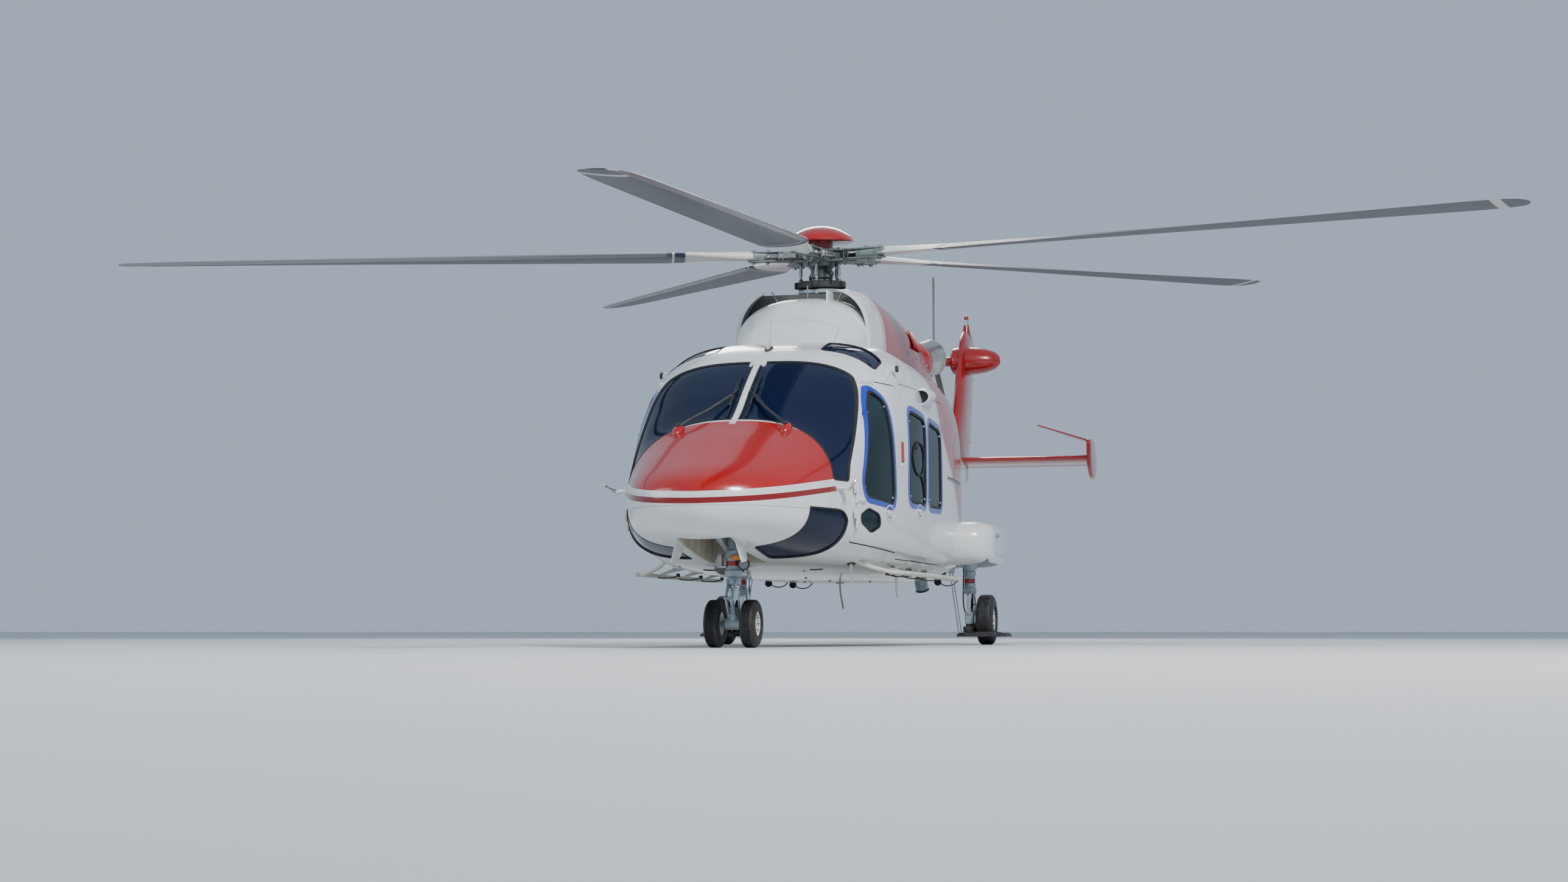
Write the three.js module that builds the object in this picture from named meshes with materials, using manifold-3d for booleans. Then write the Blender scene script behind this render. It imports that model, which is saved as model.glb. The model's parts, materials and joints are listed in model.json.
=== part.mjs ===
// Medium twin-engined ambulance helicopter, parked on its wheeled undercarriage, in millimetres.
// The nose points along -Y, the helicopter's own left side along +X and up is +Z. The tables
// below count Y from the main mast, and the whole group is then moved by CENTRE_Y, so that the
// origin is on the floor under the middle of the outline.
import * as THREE from 'three';
import { mergeVertices } from 'three/addons/utils/BufferGeometryUtils.js';
import Module from 'manifold-3d';

const wasm = await Module();
wasm.setup();

// Driving dimensions
const CENTRE_Y = 1210;
const GAP = 0.4; // between pieces that are fastened to each other
const SEAM = 9; // round a door that opens
const WALL = 46; // cabin wall and door
const REAR_WALL = 24;
const GLASS_INSET = 8;
const GLASS_THICK = 14;
const MAIN_RADIUS = 6060;
const MAIN_HUB = { y: -30, z: 3410 };
const MAST_TILT = THREE.MathUtils.degToRad(4.5);
const BLADE_COUNT = 5;
const TAIL_RADIUS = 1050;
const TAIL_HUB = { x: -360, y: 7600, z: 3400 };
const TAIL_BLADES = 3;
const NOSE_WHEEL = { radius: 178, width: 112, x: 137, y: -2900 };
const MAIN_WHEEL = { radius: 228, width: 150, x: 1240, y: 1310 };
const MAIN_LEG_X = 1085;
const FAR = 3000; // further out than any part of the body's skin
const BACK = 9000; // further aft than anything

// Outer skin of the nose and cabin. Columns: station y, half-width, bottom, height of the
// greatest width, top, and how square the lower and the upper half are (2 is an ellipse).
const FUSELAGE = [
  [-3950, 60, 985, 1040, 1105, 2.0, 2.0],
  [-3900, 235, 885, 1045, 1175, 2.1, 2.1],
  [-3780, 420, 800, 1050, 1255, 2.3, 2.2],
  [-3550, 590, 735, 1055, 1370, 2.6, 2.3],
  [-3200, 735, 680, 1065, 1545, 3.0, 2.3],
  [-2840, 850, 640, 1090, 1720, 3.4, 2.5],
  [-2500, 930, 615, 1130, 1985, 3.8, 2.9],
  [-2200, 990, 603, 1180, 2195, 4.2, 3.3],
  [-1850, 1035, 592, 1230, 2360, 4.6, 3.6],
  [-1500, 1062, 584, 1250, 2450, 5.0, 3.9],
  [-1000, 1083, 575, 1260, 2490, 5.5, 4.4],
  [300, 1085, 565, 1260, 2490, 5.5, 4.4],
  [1220, 1025, 565, 1260, 2478, 5.5, 4.2],
  [1600, 930, 665, 1310, 2450, 4.2, 3.6],
  [2200, 790, 905, 1400, 2400, 3.8, 3.2],
  [2750, 640, 1120, 1510, 2330, 3.8, 2.9],
  [3250, 490, 1300, 1650, 2220, 4.4, 2.6],
];
const CABIN_REAR = 1060;
const BOOM_JOINT = 3250;
const NOSE_JOINT = -3080;

// Engine and gearbox cowling aft of the intake's lip, same columns
const COWLING = [
  [-720, 585, 2240, 2520, 3060, 2, 2.8],
  [-395, 612, 2200, 2540, 3122, 2, 2.8],
  [300, 650, 2160, 2560, 3105, 2, 2.6],
  [1000, 680, 2150, 2560, 3000, 2, 2.6],
  [1700, 660, 2120, 2540, 2860, 2, 2.6],
  [2400, 540, 2080, 2440, 2660, 2, 2.5],
  [3000, 400, 2000, 2300, 2440, 2, 2.3],
  [3450, 290, 1950, 2180, 2290, 2, 2.2],
];

// Fairing in front of the intake, which runs on below the lip, same columns
const HUMP = [
  [-1450, 330, 2300, 2400, 2455, 2, 2.2],
  [-1080, 500, 2230, 2440, 2700, 2, 2.3],
  [-720, 570, 2210, 2500, 2925, 2, 2.5],
  [-330, 578, 2190, 2520, 2990, 2, 2.6],
];

// Tail boom with its flat keel, same columns
const BOOM = [
  [3100, 465, 1270, 1660, 2190, 5, 2.6],
  [3600, 425, 1335, 1700, 2200, 5, 2.5],
  [4600, 322, 1475, 1790, 2200, 5, 2.4],
  [5600, 240, 1615, 1880, 2200, 4.5, 2.3],
  [6600, 165, 1755, 1965, 2200, 4, 2.2],
  [7200, 120, 1870, 2030, 2200, 3.5, 2.2],
];

// Outlines in side view, as y and z, with a corner radius. They are cut straight across.
const COCKPIT_DOOR = {
  points: [[-2700, 780], [-1640, 730], [-1630, 2060], [-2139, 2060], [-2700, 1340]],
  radius: 60,
};
const COCKPIT_WINDOW = {
  points: [
    [-2545, 1240], [-2490, 1135], [-1950, 1105], [-1910, 1180],
    [-1985, 1900], [-2130, 1985], [-2270, 1840],
  ],
  radius: 60,
};
const CABIN_DOOR = { points: [[-1580, 690], [130, 690], [130, 2090], [-1580, 2090]], radius: 80 };
const CABIN_WINDOWS = [
  { name: 'front', points: [[-1490, 1150], [-880, 1150], [-870, 1850], [-1450, 1885]], radius: 110 },
  { name: 'rear', points: [[-740, 1150], [-150, 1165], [-170, 1825], [-725, 1855]], radius: 110 },
];
const BAGGAGE_DOOR = { points: [[1750, 1180], [2520, 1290], [2500, 2000], [1750, 2000]], radius: 60 };
const WINDSHIELD = {
  points: [
    [-3000, 1230], [-2905, 1560], [-2850, 1790], [-2700, 2400], [-2170, 2400],
    [-2150, 2095], [-2740, 1360], [-2800, 1230],
  ],
  radius: 30,
};
const POST_HALF = 32; // half the width of the post between the two windshields
// Outlines in plan view, as x and y, of the left-hand one of a pair
const CHIN_WINDOW = {
  points: [[300, -3420], [300, -2960], [620, -2840], [1000, -2800], [1000, -3120], [680, -3330]],
  radius: 40,
};
const CHIN_TOP = 1010;
const ROOF_WINDOW = {
  points: [[430, -1890], [700, -1865], [850, -1850], [860, -1580], [700, -1500], [430, -1490]],
  radius: 50,
};
const ROOF_LOW = 2000; // between the roof windows and the side ones
const NOSE_BAY = { points: [[-206, -3700], [206, -3700], [224, -2700], [-224, -2700]], radius: 40 };
const NOSE_BAY_TOP = 1180;

const material = (color, roughness, metalness = 0, opacity = 1) => new THREE.MeshStandardMaterial({
  color,
  roughness,
  metalness,
  opacity,
  transparent: opacity < 1,
});
const WHITE = material(0xe9e7e2, 0.3);
const RED = material(0xc01a14, 0.28);
const GLASS = material(0x10161c, 0.05, 0, 0.45);
const DARK = material(0x2b2d30, 0.6);
const METAL = material(0x9aa0a4, 0.35, 0.9);
const RUBBER = material(0x161618, 0.85);
const BLADE = material(0x3f4448, 0.5);
const CLOTH = material(0x34373c, 0.9);

const X_AXIS = new THREE.Vector3(1, 0, 0);
const Y_AXIS = new THREE.Vector3(0, 1, 0);
const Z_AXIS = new THREE.Vector3(0, 0, 1);

// Closed solid from flat lists of vertices and triangles, turned outwards if it is inside out
function closed(vertices, triangles) {
  let volume = 0;
  for (let i = 0; i < triangles.length; i += 3) {
    const [a, b, c] = [0, 1, 2].map((k) => new THREE.Vector3().fromArray(vertices, triangles[i + k] * 3));
    volume += a.dot(b.cross(c));
  }
  const turned = volume < 0 ? triangles.map((_, i) => triangles[i - (i % 3) + [0, 2, 1][i % 3]]) : triangles;
  return new wasm.Manifold(new wasm.Mesh({
    numProp: 3,
    vertProperties: new Float32Array(vertices),
    triVerts: new Uint32Array(turned),
  }));
}

function solidOf(geometry, matrix = new THREE.Matrix4()) {
  const bare = geometry.clone();
  bare.deleteAttribute('normal');
  bare.deleteAttribute('uv');
  bare.applyMatrix4(matrix);
  const merged = mergeVertices(bare, 1e-3);
  return closed(Array.from(merged.attributes.position.array), Array.from(merged.index.array));
}

function mirrored(solid) {
  const mesh = solid.getMesh();
  const vertices = Array.from(mesh.vertProperties, (value, i) => (i % 3 === 0 ? -value : value));
  return closed(vertices, Array.from(mesh.triVerts));
}

const union = (solids) => solids.reduce((sum, next) => sum.add(next));

function ellipsoid(centre, radii) {
  const matrix = new THREE.Matrix4().makeScale(...radii).setPosition(...centre);
  return solidOf(new THREE.SphereGeometry(1, 20, 12), matrix);
}

// Box from its lowest to its highest corner
function block(low, high) {
  const size = high.map((value, i) => value - low[i]);
  const middle = high.map((value, i) => (value + low[i]) / 2);
  return solidOf(new THREE.BoxGeometry(...size), new THREE.Matrix4().setPosition(...middle));
}

// Round bar or cone frustum between two points
function rod(from, to, radius, endRadius = radius, sides = 16) {
  const a = new THREE.Vector3(...from);
  const b = new THREE.Vector3(...to);
  const along = b.clone().sub(a);
  const matrix = new THREE.Matrix4().compose(
    a.clone().add(b).multiplyScalar(0.5),
    new THREE.Quaternion().setFromUnitVectors(Y_AXIS, along.clone().normalize()),
    new THREE.Vector3(1, 1, 1),
  );
  return solidOf(new THREE.CylinderGeometry(endRadius, radius, along.length(), sides), matrix);
}

// Solid of revolution about a line through a point; the profile lists radius and distance along
function turned(profile, centre, axis, sides = 24) {
  const points = profile.map(([radius, along]) => new THREE.Vector2(radius, along));
  const direction = new THREE.Vector3(...axis).normalize();
  const matrix = new THREE.Matrix4().compose(
    new THREE.Vector3(...centre),
    new THREE.Quaternion().setFromUnitVectors(Y_AXIS, direction),
    new THREE.Vector3(1, 1, 1),
  );
  return solidOf(new THREE.LatheGeometry(points, sides), matrix);
}

// Solid through a row of closed rings, each with the same number of points
function loft(rings) {
  const count = rings[0].length;
  const vertices = rings.flat(2);
  const triangles = [];
  for (let j = 0; j < rings.length - 1; j++) {
    for (let i = 0; i < count; i++) {
      const a = j * count + i;
      const b = j * count + ((i + 1) % count);
      triangles.push(a, a + count, b + count, a, b + count, b);
    }
  }
  for (const [ring, flip] of [[0, false], [rings.length - 1, true]]) {
    const middle = [0, 1, 2].map((k) => rings[ring].reduce((sum, point) => sum + point[k], 0) / count);
    const hub = vertices.length / 3;
    vertices.push(...middle);
    for (let i = 0; i < count; i++) {
      const a = ring * count + i;
      const b = ring * count + ((i + 1) % count);
      triangles.push(hub, ...(flip ? [b, a] : [a, b]));
    }
  }
  return closed(vertices, triangles);
}

// Row of a table at any y, by a smooth curve through the columns that never overshoots
function rowAt(table, y) {
  let k = 0;
  while (k < table.length - 2 && y > table[k + 1][0]) {
    k++;
  }
  const slope = (i, column) => (table[i + 1][column] - table[i][column]) / (table[i + 1][0] - table[i][0]);
  const tangent = (i, column) => {
    if (i === 0 || i === table.length - 1) {
      return slope(Math.min(i, table.length - 2), column);
    }
    const before = slope(i - 1, column);
    const after = slope(i, column);
    return before * after <= 0 ? 0 : (2 * before * after) / (before + after);
  };
  const span = table[k + 1][0] - table[k][0];
  const t = THREE.MathUtils.clamp((y - table[k][0]) / span, 0, 1);
  return table[k].map((start, column) => {
    const end = table[k + 1][column];
    const blend = t * t * (3 - 2 * t);
    const leave = t * (1 - t) * (1 - t) * span * tangent(k, column);
    const arrive = t * t * (1 - t) * span * tangent(k + 1, column);
    return start + (end - start) * blend + leave - arrive;
  });
}

// Ring of a table's section, moved inwards by inset
function sectionRing(row, inset, count) {
  const [y, halfWidth, bottom, waist, top, lower, upper] = row;
  return Array.from({ length: count }, (_, i) => {
    const angle = (2 * Math.PI * (i + 0.5)) / count;
    const [c, s] = [Math.cos(angle), Math.sin(angle)];
    const power = 2 / (s > 0 ? upper : lower);
    const reach = (s > 0 ? top - waist : waist - bottom) - inset;
    const x = (halfWidth - inset) * Math.sign(c) * Math.abs(c) ** power;
    return [x, y, waist + reach * Math.sign(s) * Math.abs(s) ** power];
  });
}

// Solid through a table's own stations, with more of them where two are over step apart
function hullOf(table, { inset = 0, step = 700, count = 20, from = table[0][0], to = table.at(-1)[0] } = {}) {
  const fixed = [from, ...table.map(([y]) => y).filter((y) => y > from + 20 && y < to - 20), to];
  const stations = fixed.slice(1).flatMap((end, i) => {
    const parts = Math.ceil((end - fixed[i]) / step);
    return Array.from({ length: parts }, (_, k) => fixed[i] + ((end - fixed[i]) * (k + 1)) / parts);
  });
  return loft([from, ...stations].map((y) => sectionRing(rowAt(table, y), inset, count)));
}

// Outline moved inwards by a distance, corner by corner
function shrunk({ points, radius }, distance) {
  const area = points.reduce((sum, [x, y], i) => {
    const [nextX, nextY] = points[(i + 1) % points.length];
    return sum + x * nextY - nextX * y;
  }, 0);
  const side = Math.sign(area);
  const lines = points.map(([x, y], i) => {
    const [nextX, nextY] = points[(i + 1) % points.length];
    const length = Math.hypot(nextX - x, nextY - y);
    const [dx, dy] = [(nextX - x) / length, (nextY - y) / length];
    return { x: x - dy * distance * side, y: y + dx * distance * side, dx, dy };
  });
  const moved = lines.map((line, i) => {
    const before = lines[(i + lines.length - 1) % lines.length];
    const cross = before.dx * line.dy - before.dy * line.dx;
    const t = ((line.x - before.x) * line.dy - (line.y - before.y) * line.dx) / cross;
    return [before.x + before.dx * t, before.y + before.dy * t];
  });
  return { points: moved, radius: Math.max(4, radius - distance) };
}

// Prism of an outline with rounded corners, between two places along the axis across it
const AXES = {
  x: new THREE.Matrix4().makeBasis(Y_AXIS, Z_AXIS, X_AXIS),
  y: new THREE.Matrix4().makeBasis(X_AXIS, Z_AXIS, Y_AXIS),
  z: new THREE.Matrix4(),
};
function prism({ points, radius }, axis, from, to, curveSegments = 3) {
  const shape = new THREE.Shape();
  points.forEach(([x, y], i) => {
    const corner = new THREE.Vector2(x, y);
    const before = new THREE.Vector2(...points[(i + points.length - 1) % points.length]);
    const after = new THREE.Vector2(...points[(i + 1) % points.length]);
    const cut = Math.min(radius, before.distanceTo(corner) * 0.45, after.distanceTo(corner) * 0.45);
    const start = before.sub(corner).setLength(cut).add(corner);
    const end = after.sub(corner).setLength(cut).add(corner);
    if (i === 0) {
      shape.moveTo(start.x, start.y);
    } else {
      shape.lineTo(start.x, start.y);
    }
    if (radius > 0) {
      shape.quadraticCurveTo(corner.x, corner.y, end.x, end.y);
    }
  });
  shape.closePath();
  const geometry = new THREE.ExtrudeGeometry(shape, { depth: to - from, bevelEnabled: false, curveSegments });
  geometry.translate(0, 0, from);
  return solidOf(geometry, AXES[axis]);
}

const group = new THREE.Group();
function place(name, solid, surface) {
  const mesh = solid.getMesh();
  const geometry = new THREE.BufferGeometry();
  geometry.setAttribute('position', new THREE.BufferAttribute(new Float32Array(mesh.vertProperties), 3));
  geometry.setIndex(new THREE.BufferAttribute(new Uint32Array(mesh.triVerts), 1));
  geometry.computeVertexNormals();
  const node = new THREE.Mesh(geometry, surface);
  node.name = name;
  group.add(node);
}
function placePair(name, leftSolid, surface) {
  place(`${name}_left`, leftSolid, surface);
  place(`${name}_right`, mirrored(leftSolid), surface);
}

// Skin of the nose and cabin, and the thin skin that the window panes are cut from
const hull = hullOf(FUSELAGE);
const leftClear = hullOf(FUSELAGE, { inset: -GAP });
const hullClear = leftClear.add(mirrored(leftClear)); // the two differ by the diagonals of their facets
const insideOf = (clearance) => hullOf(FUSELAGE, {
  inset: WALL + clearance, from: -3780, to: 3100, step: 1400, count: 16,
});
const skin = hull.subtract(insideOf(0));
const paneSkin = hullOf(FUSELAGE, { inset: GLASS_INSET })
  .subtract(hullOf(FUSELAGE, { inset: GLASS_INSET + GLASS_THICK, from: -3900, to: 3150 }));
const leftSide = (outline) => prism(outline, 'x', 300, FAR);
const bothSides = (outline) => prism(outline, 'x', -FAR, FAR);

const windshieldCut = (inset) => prism(shrunk(WINDSHIELD, inset), 'x', POST_HALF + inset, FAR);
const chinCut = (inset) => prism(shrunk(CHIN_WINDOW, inset), 'z', 0, CHIN_TOP - inset);
const roofCut = (inset) => prism(shrunk(ROOF_WINDOW, inset), 'z', ROOF_LOW, FAR);
const PANES = [
  ['windshield', windshieldCut],
  ['chin_window', chinCut],
  ['roof_window', roofCut],
];
const paneHoles = union(PANES.flatMap(([, cut]) => [cut(0), mirrored(cut(0))]));
for (const [name, cut] of PANES) {
  placePair(name, paneSkin.intersect(cut(GAP)), GLASS);
}

// Door hinges: an upright knuckle on the door and another on the frame above it, each with a
// plate that lies outside the skin and a foot that goes into the wall behind it
const KNUCKLE = { radius: 12, height: 70, plate: 60, foot: 28, depth: 75, inner: 8, outer: 6 };
function hinge(x, y, z, toFrame) {
  const low = toFrame ? z + KNUCKLE.height + GAP : z;
  const high = low + KNUCKLE.height;
  const sideways = (near, far, inner, outer) => (toFrame
    ? block([inner, y - far, low], [outer, y - near, high])
    : block([inner, y + near, low], [outer, y + far, high]));
  return rod([x, y, low], [x, y, high], KNUCKLE.radius)
    .add(sideways(0, KNUCKLE.plate, x - KNUCKLE.inner, x + KNUCKLE.outer))
    .add(sideways(KNUCKLE.foot, KNUCKLE.plate, x - KNUCKLE.depth, x));
}
const doorHinges = (spec, toFrame) => union(spec.heights.map((z) => hinge(spec.x, spec.y, z, toFrame)));

// Cockpit doors, hinged at their front edge, with one upper window each
const COCKPIT_HINGE = { x: 895, y: -2700, heights: [880, 1070] };
const cockpitDoor = skin.intersect(leftSide(shrunk(COCKPIT_DOOR, SEAM)))
  .subtract(leftSide(COCKPIT_WINDOW))
  .add(doorHinges(COCKPIT_HINGE, false));
placePair('cockpit_door', cockpitDoor, WHITE);
placePair('cockpit_door_window', paneSkin.intersect(leftSide(shrunk(COCKPIT_WINDOW, GAP))), GLASS);

// Sliding cabin doors, shown shut, with two windows each
const cabinDoor = skin.intersect(leftSide(shrunk(CABIN_DOOR, GAP)))
  .subtract(union(CABIN_WINDOWS.map(leftSide)));
placePair('cabin_door', cabinDoor, WHITE);
for (const window of CABIN_WINDOWS) {
  placePair(`cabin_window_${window.name}`, paneSkin.intersect(leftSide(shrunk(window, GAP))), GLASS);
}

// Small fittings that stand on the skin. Blade aerials: x, y, root height, height and chord,
// upwards or downwards; a root lies inside the skin.
const AERIAL_HALF = 6;
const aerial = ([x, y, root, height, chord]) => prism({
  points: [
    [y - chord / 2, root], [y + chord / 2, root],
    [y + chord / 2, root + height], [y + chord / 8, root + height],
  ],
  radius: 0,
}, 'x', x - AERIAL_HALF, x + AERIAL_HALF);
const CABIN_AERIALS = [
  [0, -1850, 2330, 300, 130],
  [724, -2120, 680, -240, 110],
  [789, -680, 640, -240, 110],
];
const BOOM_AERIALS = [
  [0, 4160, 1440, -220, 110],
  [0, 5790, 1670, -230, 110],
];
const PITOT = {
  root: [740, -2945, 1172],
  arm: [896, -2940, 1165],
  tip: [961, -3068, 1210],
  radius: 26,
  tube: 10,
};
const pitot = rod(PITOT.root, PITOT.arm, PITOT.radius * 2, PITOT.radius, 12)
  .add(rod(PITOT.arm, PITOT.tip, PITOT.tube, PITOT.tube, 8));
const cabinFittings = union([pitot, mirrored(pitot), ...CABIN_AERIALS.map(aerial)]).subtract(insideOf(0));

// Nose cap, cabin shell and rear fuselage, all cut from the same skin
const CAP_LOW = 1000;
const doorHoles = bothSides(COCKPIT_DOOR).add(bothSides(CABIN_DOOR));
const noseBayHole = prism(NOSE_BAY, 'z', 0, NOSE_BAY_TOP);
const AHEAD = -4100; // further forward than the nose
const capCut = (inset) => block([-FAR, AHEAD, CAP_LOW + inset], [FAR, NOSE_JOINT - inset, FAR]);
place('nose_cap', skin.intersect(capCut(GAP)).subtract(noseBayHole).subtract(paneHoles), RED);
const cabinCut = block([-FAR, AHEAD, 0], [FAR, CABIN_REAR - GAP, FAR]);
const frameHinges = doorHinges(COCKPIT_HINGE, true);
const cabinShell = skin.intersect(cabinCut)
  .subtract(union([capCut(0), doorHoles, paneHoles, noseBayHole]))
  .add(union([frameHinges, mirrored(frameHinges), cabinFittings]));
place('cabin_shell', cabinShell, WHITE);

// Nose gear bay, a box with an open underside
const BAY_WALL = 16;
const bayOuter = prism(shrunk(NOSE_BAY, GAP), 'z', 600, NOSE_BAY_TOP - GAP);
const bayInner = prism(shrunk(NOSE_BAY, BAY_WALL), 'z', 0, NOSE_BAY_TOP - BAY_WALL);
place('nose_gear_bay', bayOuter.subtract(bayInner).intersect(hullOf(FUSELAGE, { inset: GAP })), WHITE);

// Rear fuselage with a swelling low on each side, and its baggage doors
const SWELL = { centre: [560, 2290, 1160], radii: [275, 560, 225] };
const swelling = (inset) => {
  const half = ellipsoid(SWELL.centre, SWELL.radii.map((radius) => radius - inset));
  return half.add(mirrored(half));
};
const rearHollow = hullOf(FUSELAGE, { inset: REAR_WALL, from: 900, to: BOOM_JOINT - REAR_WALL })
  .add(swelling(REAR_WALL));
const rearSkin = hull.add(swelling(0)).subtract(rearHollow);
const BAGGAGE_HINGE = { x: 910, y: 1750, heights: [1290, 1480] };
const rearCut = block([-FAR, CABIN_REAR, 0], [FAR, BOOM_JOINT + 10, FAR]);
const rearHinges = doorHinges(BAGGAGE_HINGE, true);
place('rear_fuselage', rearSkin.intersect(rearCut).subtract(bothSides(BAGGAGE_DOOR))
  .add(rearHinges)
  .add(mirrored(rearHinges)), RED);
placePair('baggage_door', rearSkin.intersect(leftSide(shrunk(BAGGAGE_DOOR, SEAM + 6)))
  .add(doorHinges(BAGGAGE_HINGE, false)), RED);

// Tail boom, hollow and open at its front end, seated on the rear fuselage
const BOOM_WALL = 10;
const boomSkin = hullOf(BOOM, { step: 1100 })
  .add(union(BOOM_AERIALS.map(aerial)))
  .subtract(hullOf(BOOM, { inset: BOOM_WALL, to: 6900, step: 1100 }));
place('tail_boom', boomSkin.intersect(block([-FAR, BOOM_JOINT + GAP, 0], [FAR, BACK, FAR])), WHITE);

// Cowling over gearbox and engines, open round the mast, with the intake between its front lip
// and the fairing below
const COWL_WALL = 30;
const cowlShell = hullOf(COWLING)
  .subtract(hullOf(COWLING, { inset: COWL_WALL, to: 3350, step: 800, count: 16 }));
const humpShell = hullOf(HUMP)
  .subtract(hullOf(HUMP, { inset: COWL_WALL, from: -1330, step: 800, count: 16 }));
const INTAKE_STRUT = { x: 215, from: [-760, -400], to: [2800, 3030], half: 9 };
const intakeStrut = block(
  [INTAKE_STRUT.x - INTAKE_STRUT.half, INTAKE_STRUT.from[0], INTAKE_STRUT.to[0]],
  [INTAKE_STRUT.x + INTAKE_STRUT.half, INTAKE_STRUT.from[1], INTAKE_STRUT.to[1]],
).intersect(hullOf(COWLING)).subtract(hullOf(HUMP, { inset: COWL_WALL }));
const MAST_HOLE = 260;
const mastHole = rod([0, MAIN_HUB.y, 2600], [0, MAIN_HUB.y, MAIN_HUB.z], MAST_HOLE, MAST_HOLE, 24);

// Exhausts, open pipes that leave the cowling sideways and aft
const EXHAUST = { from: [430, 1480, 2610], to: [645, 1880, 2730], radius: 165, wall: 8 };
const alongExhaust = (t) => EXHAUST.from.map((value, i) => value + (EXHAUST.to[i] - value) * t);
const exhaustBar = (radius, start, end) => rod(alongExhaust(start), alongExhaust(end), radius, radius, 20);
const exhaustHole = exhaustBar(EXHAUST.radius + GAP, -0.01, 1.1);
placePair('exhaust', exhaustBar(EXHAUST.radius, 0, 1)
  .subtract(exhaustBar(EXHAUST.radius - EXHAUST.wall, 0.1, 1.1)), METAL);
const COWL_LOW = 2120;
const cowling = union([cowlShell, humpShell, intakeStrut])
  .subtract(union([mastHole, hullClear, exhaustHole, mirrored(exhaustHole)]))
  .intersect(block([-FAR, HUMP[0][0] + 20, COWL_LOW], [FAR, BOOM_JOINT, FAR]));
place('engine_cowling', cowling, WHITE);

// Engines and main gearbox, plain blocks on the roof under the cowling
const ENGINE = {
  low: [130, 520, 2300],
  high: [460, 1380, 2720],
  shaft: [[250, 200, 2620], [300, 600, 2620]],
  shaftRadius: 60,
};
const engine = block(ENGINE.low, ENGINE.high)
  .add(rod(...ENGINE.shaft, ENGINE.shaftRadius, ENGINE.shaftRadius, 10));

// The rotor's own frame has its origin in the middle of the hub and Z up the tilted mast
const rotorFrame = new THREE.Matrix4().makeRotationX(MAST_TILT).setPosition(0, MAIN_HUB.y, MAIN_HUB.z);
const inRotor = (x, y, z) => new THREE.Vector3(x, y, z).applyMatrix4(rotorFrame).toArray();
const mastAxis = new THREE.Vector3(0, 0, 1).transformDirection(rotorFrame).toArray();
const onMast = (profile, sides) => turned(profile, inRotor(0, 0, 0), mastAxis, sides);
const GEARBOX_TOP = -470;
const gearbox = onMast([
  [0, -1100], [330, -1100], [330, -720], [210, -640], [200, GEARBOX_TOP], [0, GEARBOX_TOP],
], 20);
place('powerplant', union([gearbox, engine, mirrored(engine)]).subtract(hullClear), METAL);

// Rotor head: hub with an arm to each blade and a damper from the hub to each arm
const HUB = { radius: 250, half: 55, armStart: 100, armEnd: 600, armHalf: 70, armThick: 90 };
const DAMPER = { from: [190, 150, -10], to: [470, 60, -10], radius: 30 };
const MAST_RADIUS = 72;
const hubCore = onMast([
  [0, GEARBOX_TOP + GAP], [MAST_RADIUS, GEARBOX_TOP + GAP], [MAST_RADIUS, -HUB.half],
  [HUB.radius, -HUB.half], [HUB.radius, HUB.half], [0, HUB.half],
], 20);
const bladeTurn = (k) => -Math.PI / 2 + (2 * Math.PI * k) / BLADE_COUNT;
const aroundMast = (k) => rotorFrame.clone().multiply(new THREE.Matrix4().makeRotationZ(bladeTurn(k)));
const turnedTo = (k, point) => new THREE.Vector3(...point).applyMatrix4(aroundMast(k)).toArray();
const bladeNumbers = Array.from({ length: BLADE_COUNT }, (_, k) => k);
const arms = bladeNumbers.map((k) => solidOf(
  new THREE.BoxGeometry(HUB.armEnd - HUB.armStart, 2 * HUB.armHalf, HUB.armThick),
  aroundMast(k).multiply(new THREE.Matrix4().setPosition((HUB.armEnd + HUB.armStart) / 2, 0, 0)),
).add(rod(turnedTo(k, DAMPER.from), turnedTo(k, DAMPER.to), DAMPER.radius, DAMPER.radius, 10)));
place('rotor_head', union([hubCore, ...arms]), METAL);
place('rotor_cap', onMast([
  [0, HUB.half + GAP], [110, HUB.half + GAP], [110, 120], [282, 118], [290, 138], [255, 180],
  [180, 226], [90, 256], [0, 264],
], 24), RED);

// Control ring round the mast with one upright link to each arm
const RING = { low: -290, high: -225, radius: 215, linkAt: 180, linkRadius: 16 };
const ring = onMast([
  [MAST_RADIUS + GAP, RING.low], [RING.radius, RING.low], [RING.radius, RING.high],
  [MAST_RADIUS + GAP, RING.high], [MAST_RADIUS + GAP, RING.low],
], 20);
const links = bladeNumbers.map((k) => rod(
  turnedTo(k, [RING.linkAt, 0, RING.high - 5]),
  turnedTo(k, [RING.linkAt, 0, -HUB.half - GAP]),
  RING.linkRadius,
  RING.linkRadius,
  8,
));
place('control_ring', union([ring, ...links]), DARK);

// Blades. Columns: distance from the mast, chord, thickness and twist in degrees.
const MAIN_BLADE = [
  [HUB.armEnd + GAP, 130, 90, 8],
  [900, 210, 70, 8],
  [1400, 400, 50, 7],
  [5500, 400, 40, -3],
  [5900, 360, 34, -4],
  [6020, 270, 26, -4],
  [MAIN_RADIUS, 150, 16, -4],
];
const FOIL = [
  [1, 0], [0.75, 0.5], [0.45, 0.95], [0.2, 0.95], [0.05, 0.5],
  [0, 0], [0.05, -0.5], [0.2, -0.9], [0.45, -0.8], [0.75, -0.4],
];
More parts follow.
